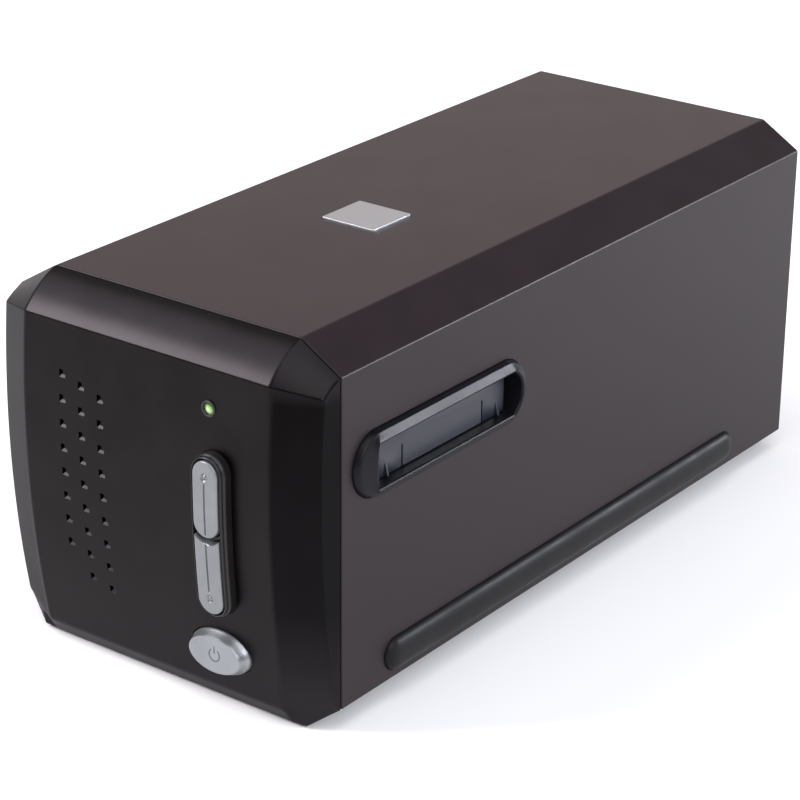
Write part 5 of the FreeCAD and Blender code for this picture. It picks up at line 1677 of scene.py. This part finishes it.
@dataclass
class Rear:
    """The rear panel with its vents and sockets."""

    edge: float = 0.3
    socket_edge: float = 0.2

    def build(self) -> None:
        """Dresses copies of the rear's nodes."""
        dress_copies("case", [
            ("rear_panel", "back_panel", self.edge, TRAY_PLASTIC, "tray_plastic"),
            ("usb_socket", "data_port", self.socket_edge, STEEL, "socket_steel"),
            ("power_jack", "power_port", self.socket_edge, BLACK_PLASTIC, "jack_plastic"),
        ])


@dataclass
class Inside:
    """Everything inside the case that keeps its CAD shape."""

    finishes: dict[str, Finish] = field(default_factory=lambda: {
        "button_board": LAMINATE, "tact_switches": BLACK_PLASTIC, "main_board": LAMINATE,
        "board_screws": STEEL, "chassis_frame": SHEET_STEEL, "film_channel": BLACK_PLASTIC,
        "detent_spring": STEEL, "guide_rods": STEEL, "lead_screw": STEEL, "screw_bearing": BRASS,
        "stepper_motor": MOTOR_METAL, "home_sensor": BLACK_PLASTIC, "scan_carriage": GREY_PLASTIC,
        "rod_bushings": BRASS, "drive_nut": BRASS, "fold_mirror": MIRROR, "lens_barrel": ALUMINIUM,
        "lens_glass": GLASS, "lens_clamp": SHEET_STEEL, "sensor_board": LAMINATE,
        "line_sensor": GREY_PLASTIC, "lamp_housing": GREY_PLASTIC, "light_diffuser": DIFFUSER,
        "lamp_board": LAMINATE,
    })

    def build(self) -> None:
        """Gives every inner node its finish."""
        for node, finish in self.finishes.items():
            finish.dress(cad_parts[node])
            logging.info("%s: %s", node, finish.name)


# The studio

@dataclass(frozen=True)
class SoftBox:
    """A rectangular light that is turned towards the scanner, its place and size in metres."""

    place: tuple[float, float, float]
    size: Span
    radiance: float
    tint: tuple[float, float, float]

    def build(self, name: str, target: Vector) -> None:
        """Builds the light. Its power is its radiance times pi times its area.

        Args:
            name: The light's name.
            target: What it is turned towards.
        """
        data = bpy.data.lights.new(name, "AREA")
        data.shape = "RECTANGLE"
        data.size, data.size_y = self.size
        data.energy = self.radiance * math.pi * self.size[0] * self.size[1]
        data.color = self.tint
        light = bpy.data.objects.new(name, data)
        light.visible_camera = False
        bpy.context.scene.collection.objects.link(light)
        turn = (target - Vector(self.place)).to_track_quat("-Z", "Y").to_matrix().to_4x4()
        light.matrix_world = Matrix.Translation(self.place) @ turn


@dataclass
class Studio:
    """A pale floor, soft boxes and the camera, its place and directions in metres."""

    focal: float = 123.755
    sensor: float = 36.0
    clip: float = 0.01
    place: tuple[float, float, float] = (0.48673, -0.65875, 0.40410)
    right: tuple[float, float, float] = (0.79843, 0.60203, 0.00797)
    down: tuple[float, float, float] = (0.24562, -0.31360, -0.91724)
    ahead: tuple[float, float, float] = (-0.54970, 0.73431, -0.39825)
    floor_reach: float = 6000.0
    floor_lines: int = 9
    world: float = 0.28
    target: tuple[float, float, float] = (0.0, 0.0, 0.06)
    boxes: tuple[SoftBox, ...] = (
        SoftBox((-0.97, -0.90, 0.93), (0.52, 0.52), 23.0, (1.0, 0.97, 1.0)),
        SoftBox((-0.86, -0.33, 1.18), (0.7, 0.7), 3.4, (1.0, 0.95, 1.0)),
        SoftBox((0.45, -0.55, 2.20), (1.8, 1.8), 2.5, (0.96, 0.96, 1.0)),
        SoftBox((-1.20, 1.55, 0.75), (2.0, 0.9), 0.74, (1.0, 0.81, 0.80)),
        SoftBox((1.12, 1.30, 0.54), (0.4, 0.4), 52.0, (0.88, 0.90, 1.0)),
        SoftBox((1.25, -0.75, 1.00), (0.8, 0.8), 6.0, (0.97, 0.97, 1.0)),
        SoftBox((-1.35, 0.25, 0.28), (0.7, 0.5), 1.7, (1.0, 0.97, 1.0)),
    )

    def build(self) -> None:
        """Builds the camera, the floor, the lights and the dim room."""
        self.camera()
        self.floor()
        for number, box in enumerate(self.boxes):
            box.build(f"soft_box_{number}", Vector(self.target))
        self.room()

    def camera(self) -> None:
        """The camera, its columns the right, up and back directions."""
        data = bpy.data.cameras.new("camera")
        data.lens, data.sensor_width, data.clip_start = self.focal, self.sensor, self.clip
        camera = bpy.data.objects.new("camera", data)
        bpy.context.scene.collection.objects.link(camera)
        columns = np.eye(4)
        columns[:3] = np.stack([self.right, -np.array(self.down), -np.array(self.ahead), self.place], axis=1)
        camera.matrix_world = Matrix(columns.tolist())
        bpy.context.scene.camera = camera

    def floor(self) -> None:
        """A wide plain floor."""
        line = np.linspace(-self.floor_reach, self.floor_reach, self.floor_lines)
        x, y = np.meshgrid(line, line, indexing="ij")
        floor = Shell("floor").sheet(np.stack([x, y, np.zeros_like(x)], axis=-1)).build()
        if floor.data.polygons[0].normal.z < 0:
            floor.data.flip_normals()
        FLOOR_PAPER.dress(floor)

    def room(self) -> None:
        """The dim white room round it all, shown in plain tones."""
        world = bpy.data.worlds.new("room")
        world.use_nodes = True
        background = world.node_tree.nodes["Background"]
        background.inputs["Color"].default_value = grey(1.0)
        background.inputs["Strength"].default_value = self.world
        scene = bpy.context.scene
        scene.world = world
        scene.view_settings.view_transform = "Standard"
        scene.view_settings.look = "None"


def main() -> None:
    """Builds the studio and every piece."""
    logging.basicConfig(level=logging.INFO, format="%(message)s")
    Studio().build()
    tunnel, slot = Tunnel(), SlotShape()
    parts = [Cover(tunnel, slot), Bezel(tunnel), KeyCluster(), PowerButton(), StatusLamp()]
    for hand in Hand:
        parts += [GripStrip(hand), SlotRing(hand, slot), DustDoor(hand)]
    parts += [Underside(), Rear(), Inside()]
    for part in parts:
        part.build()


if __name__ == "__main__":
    main()
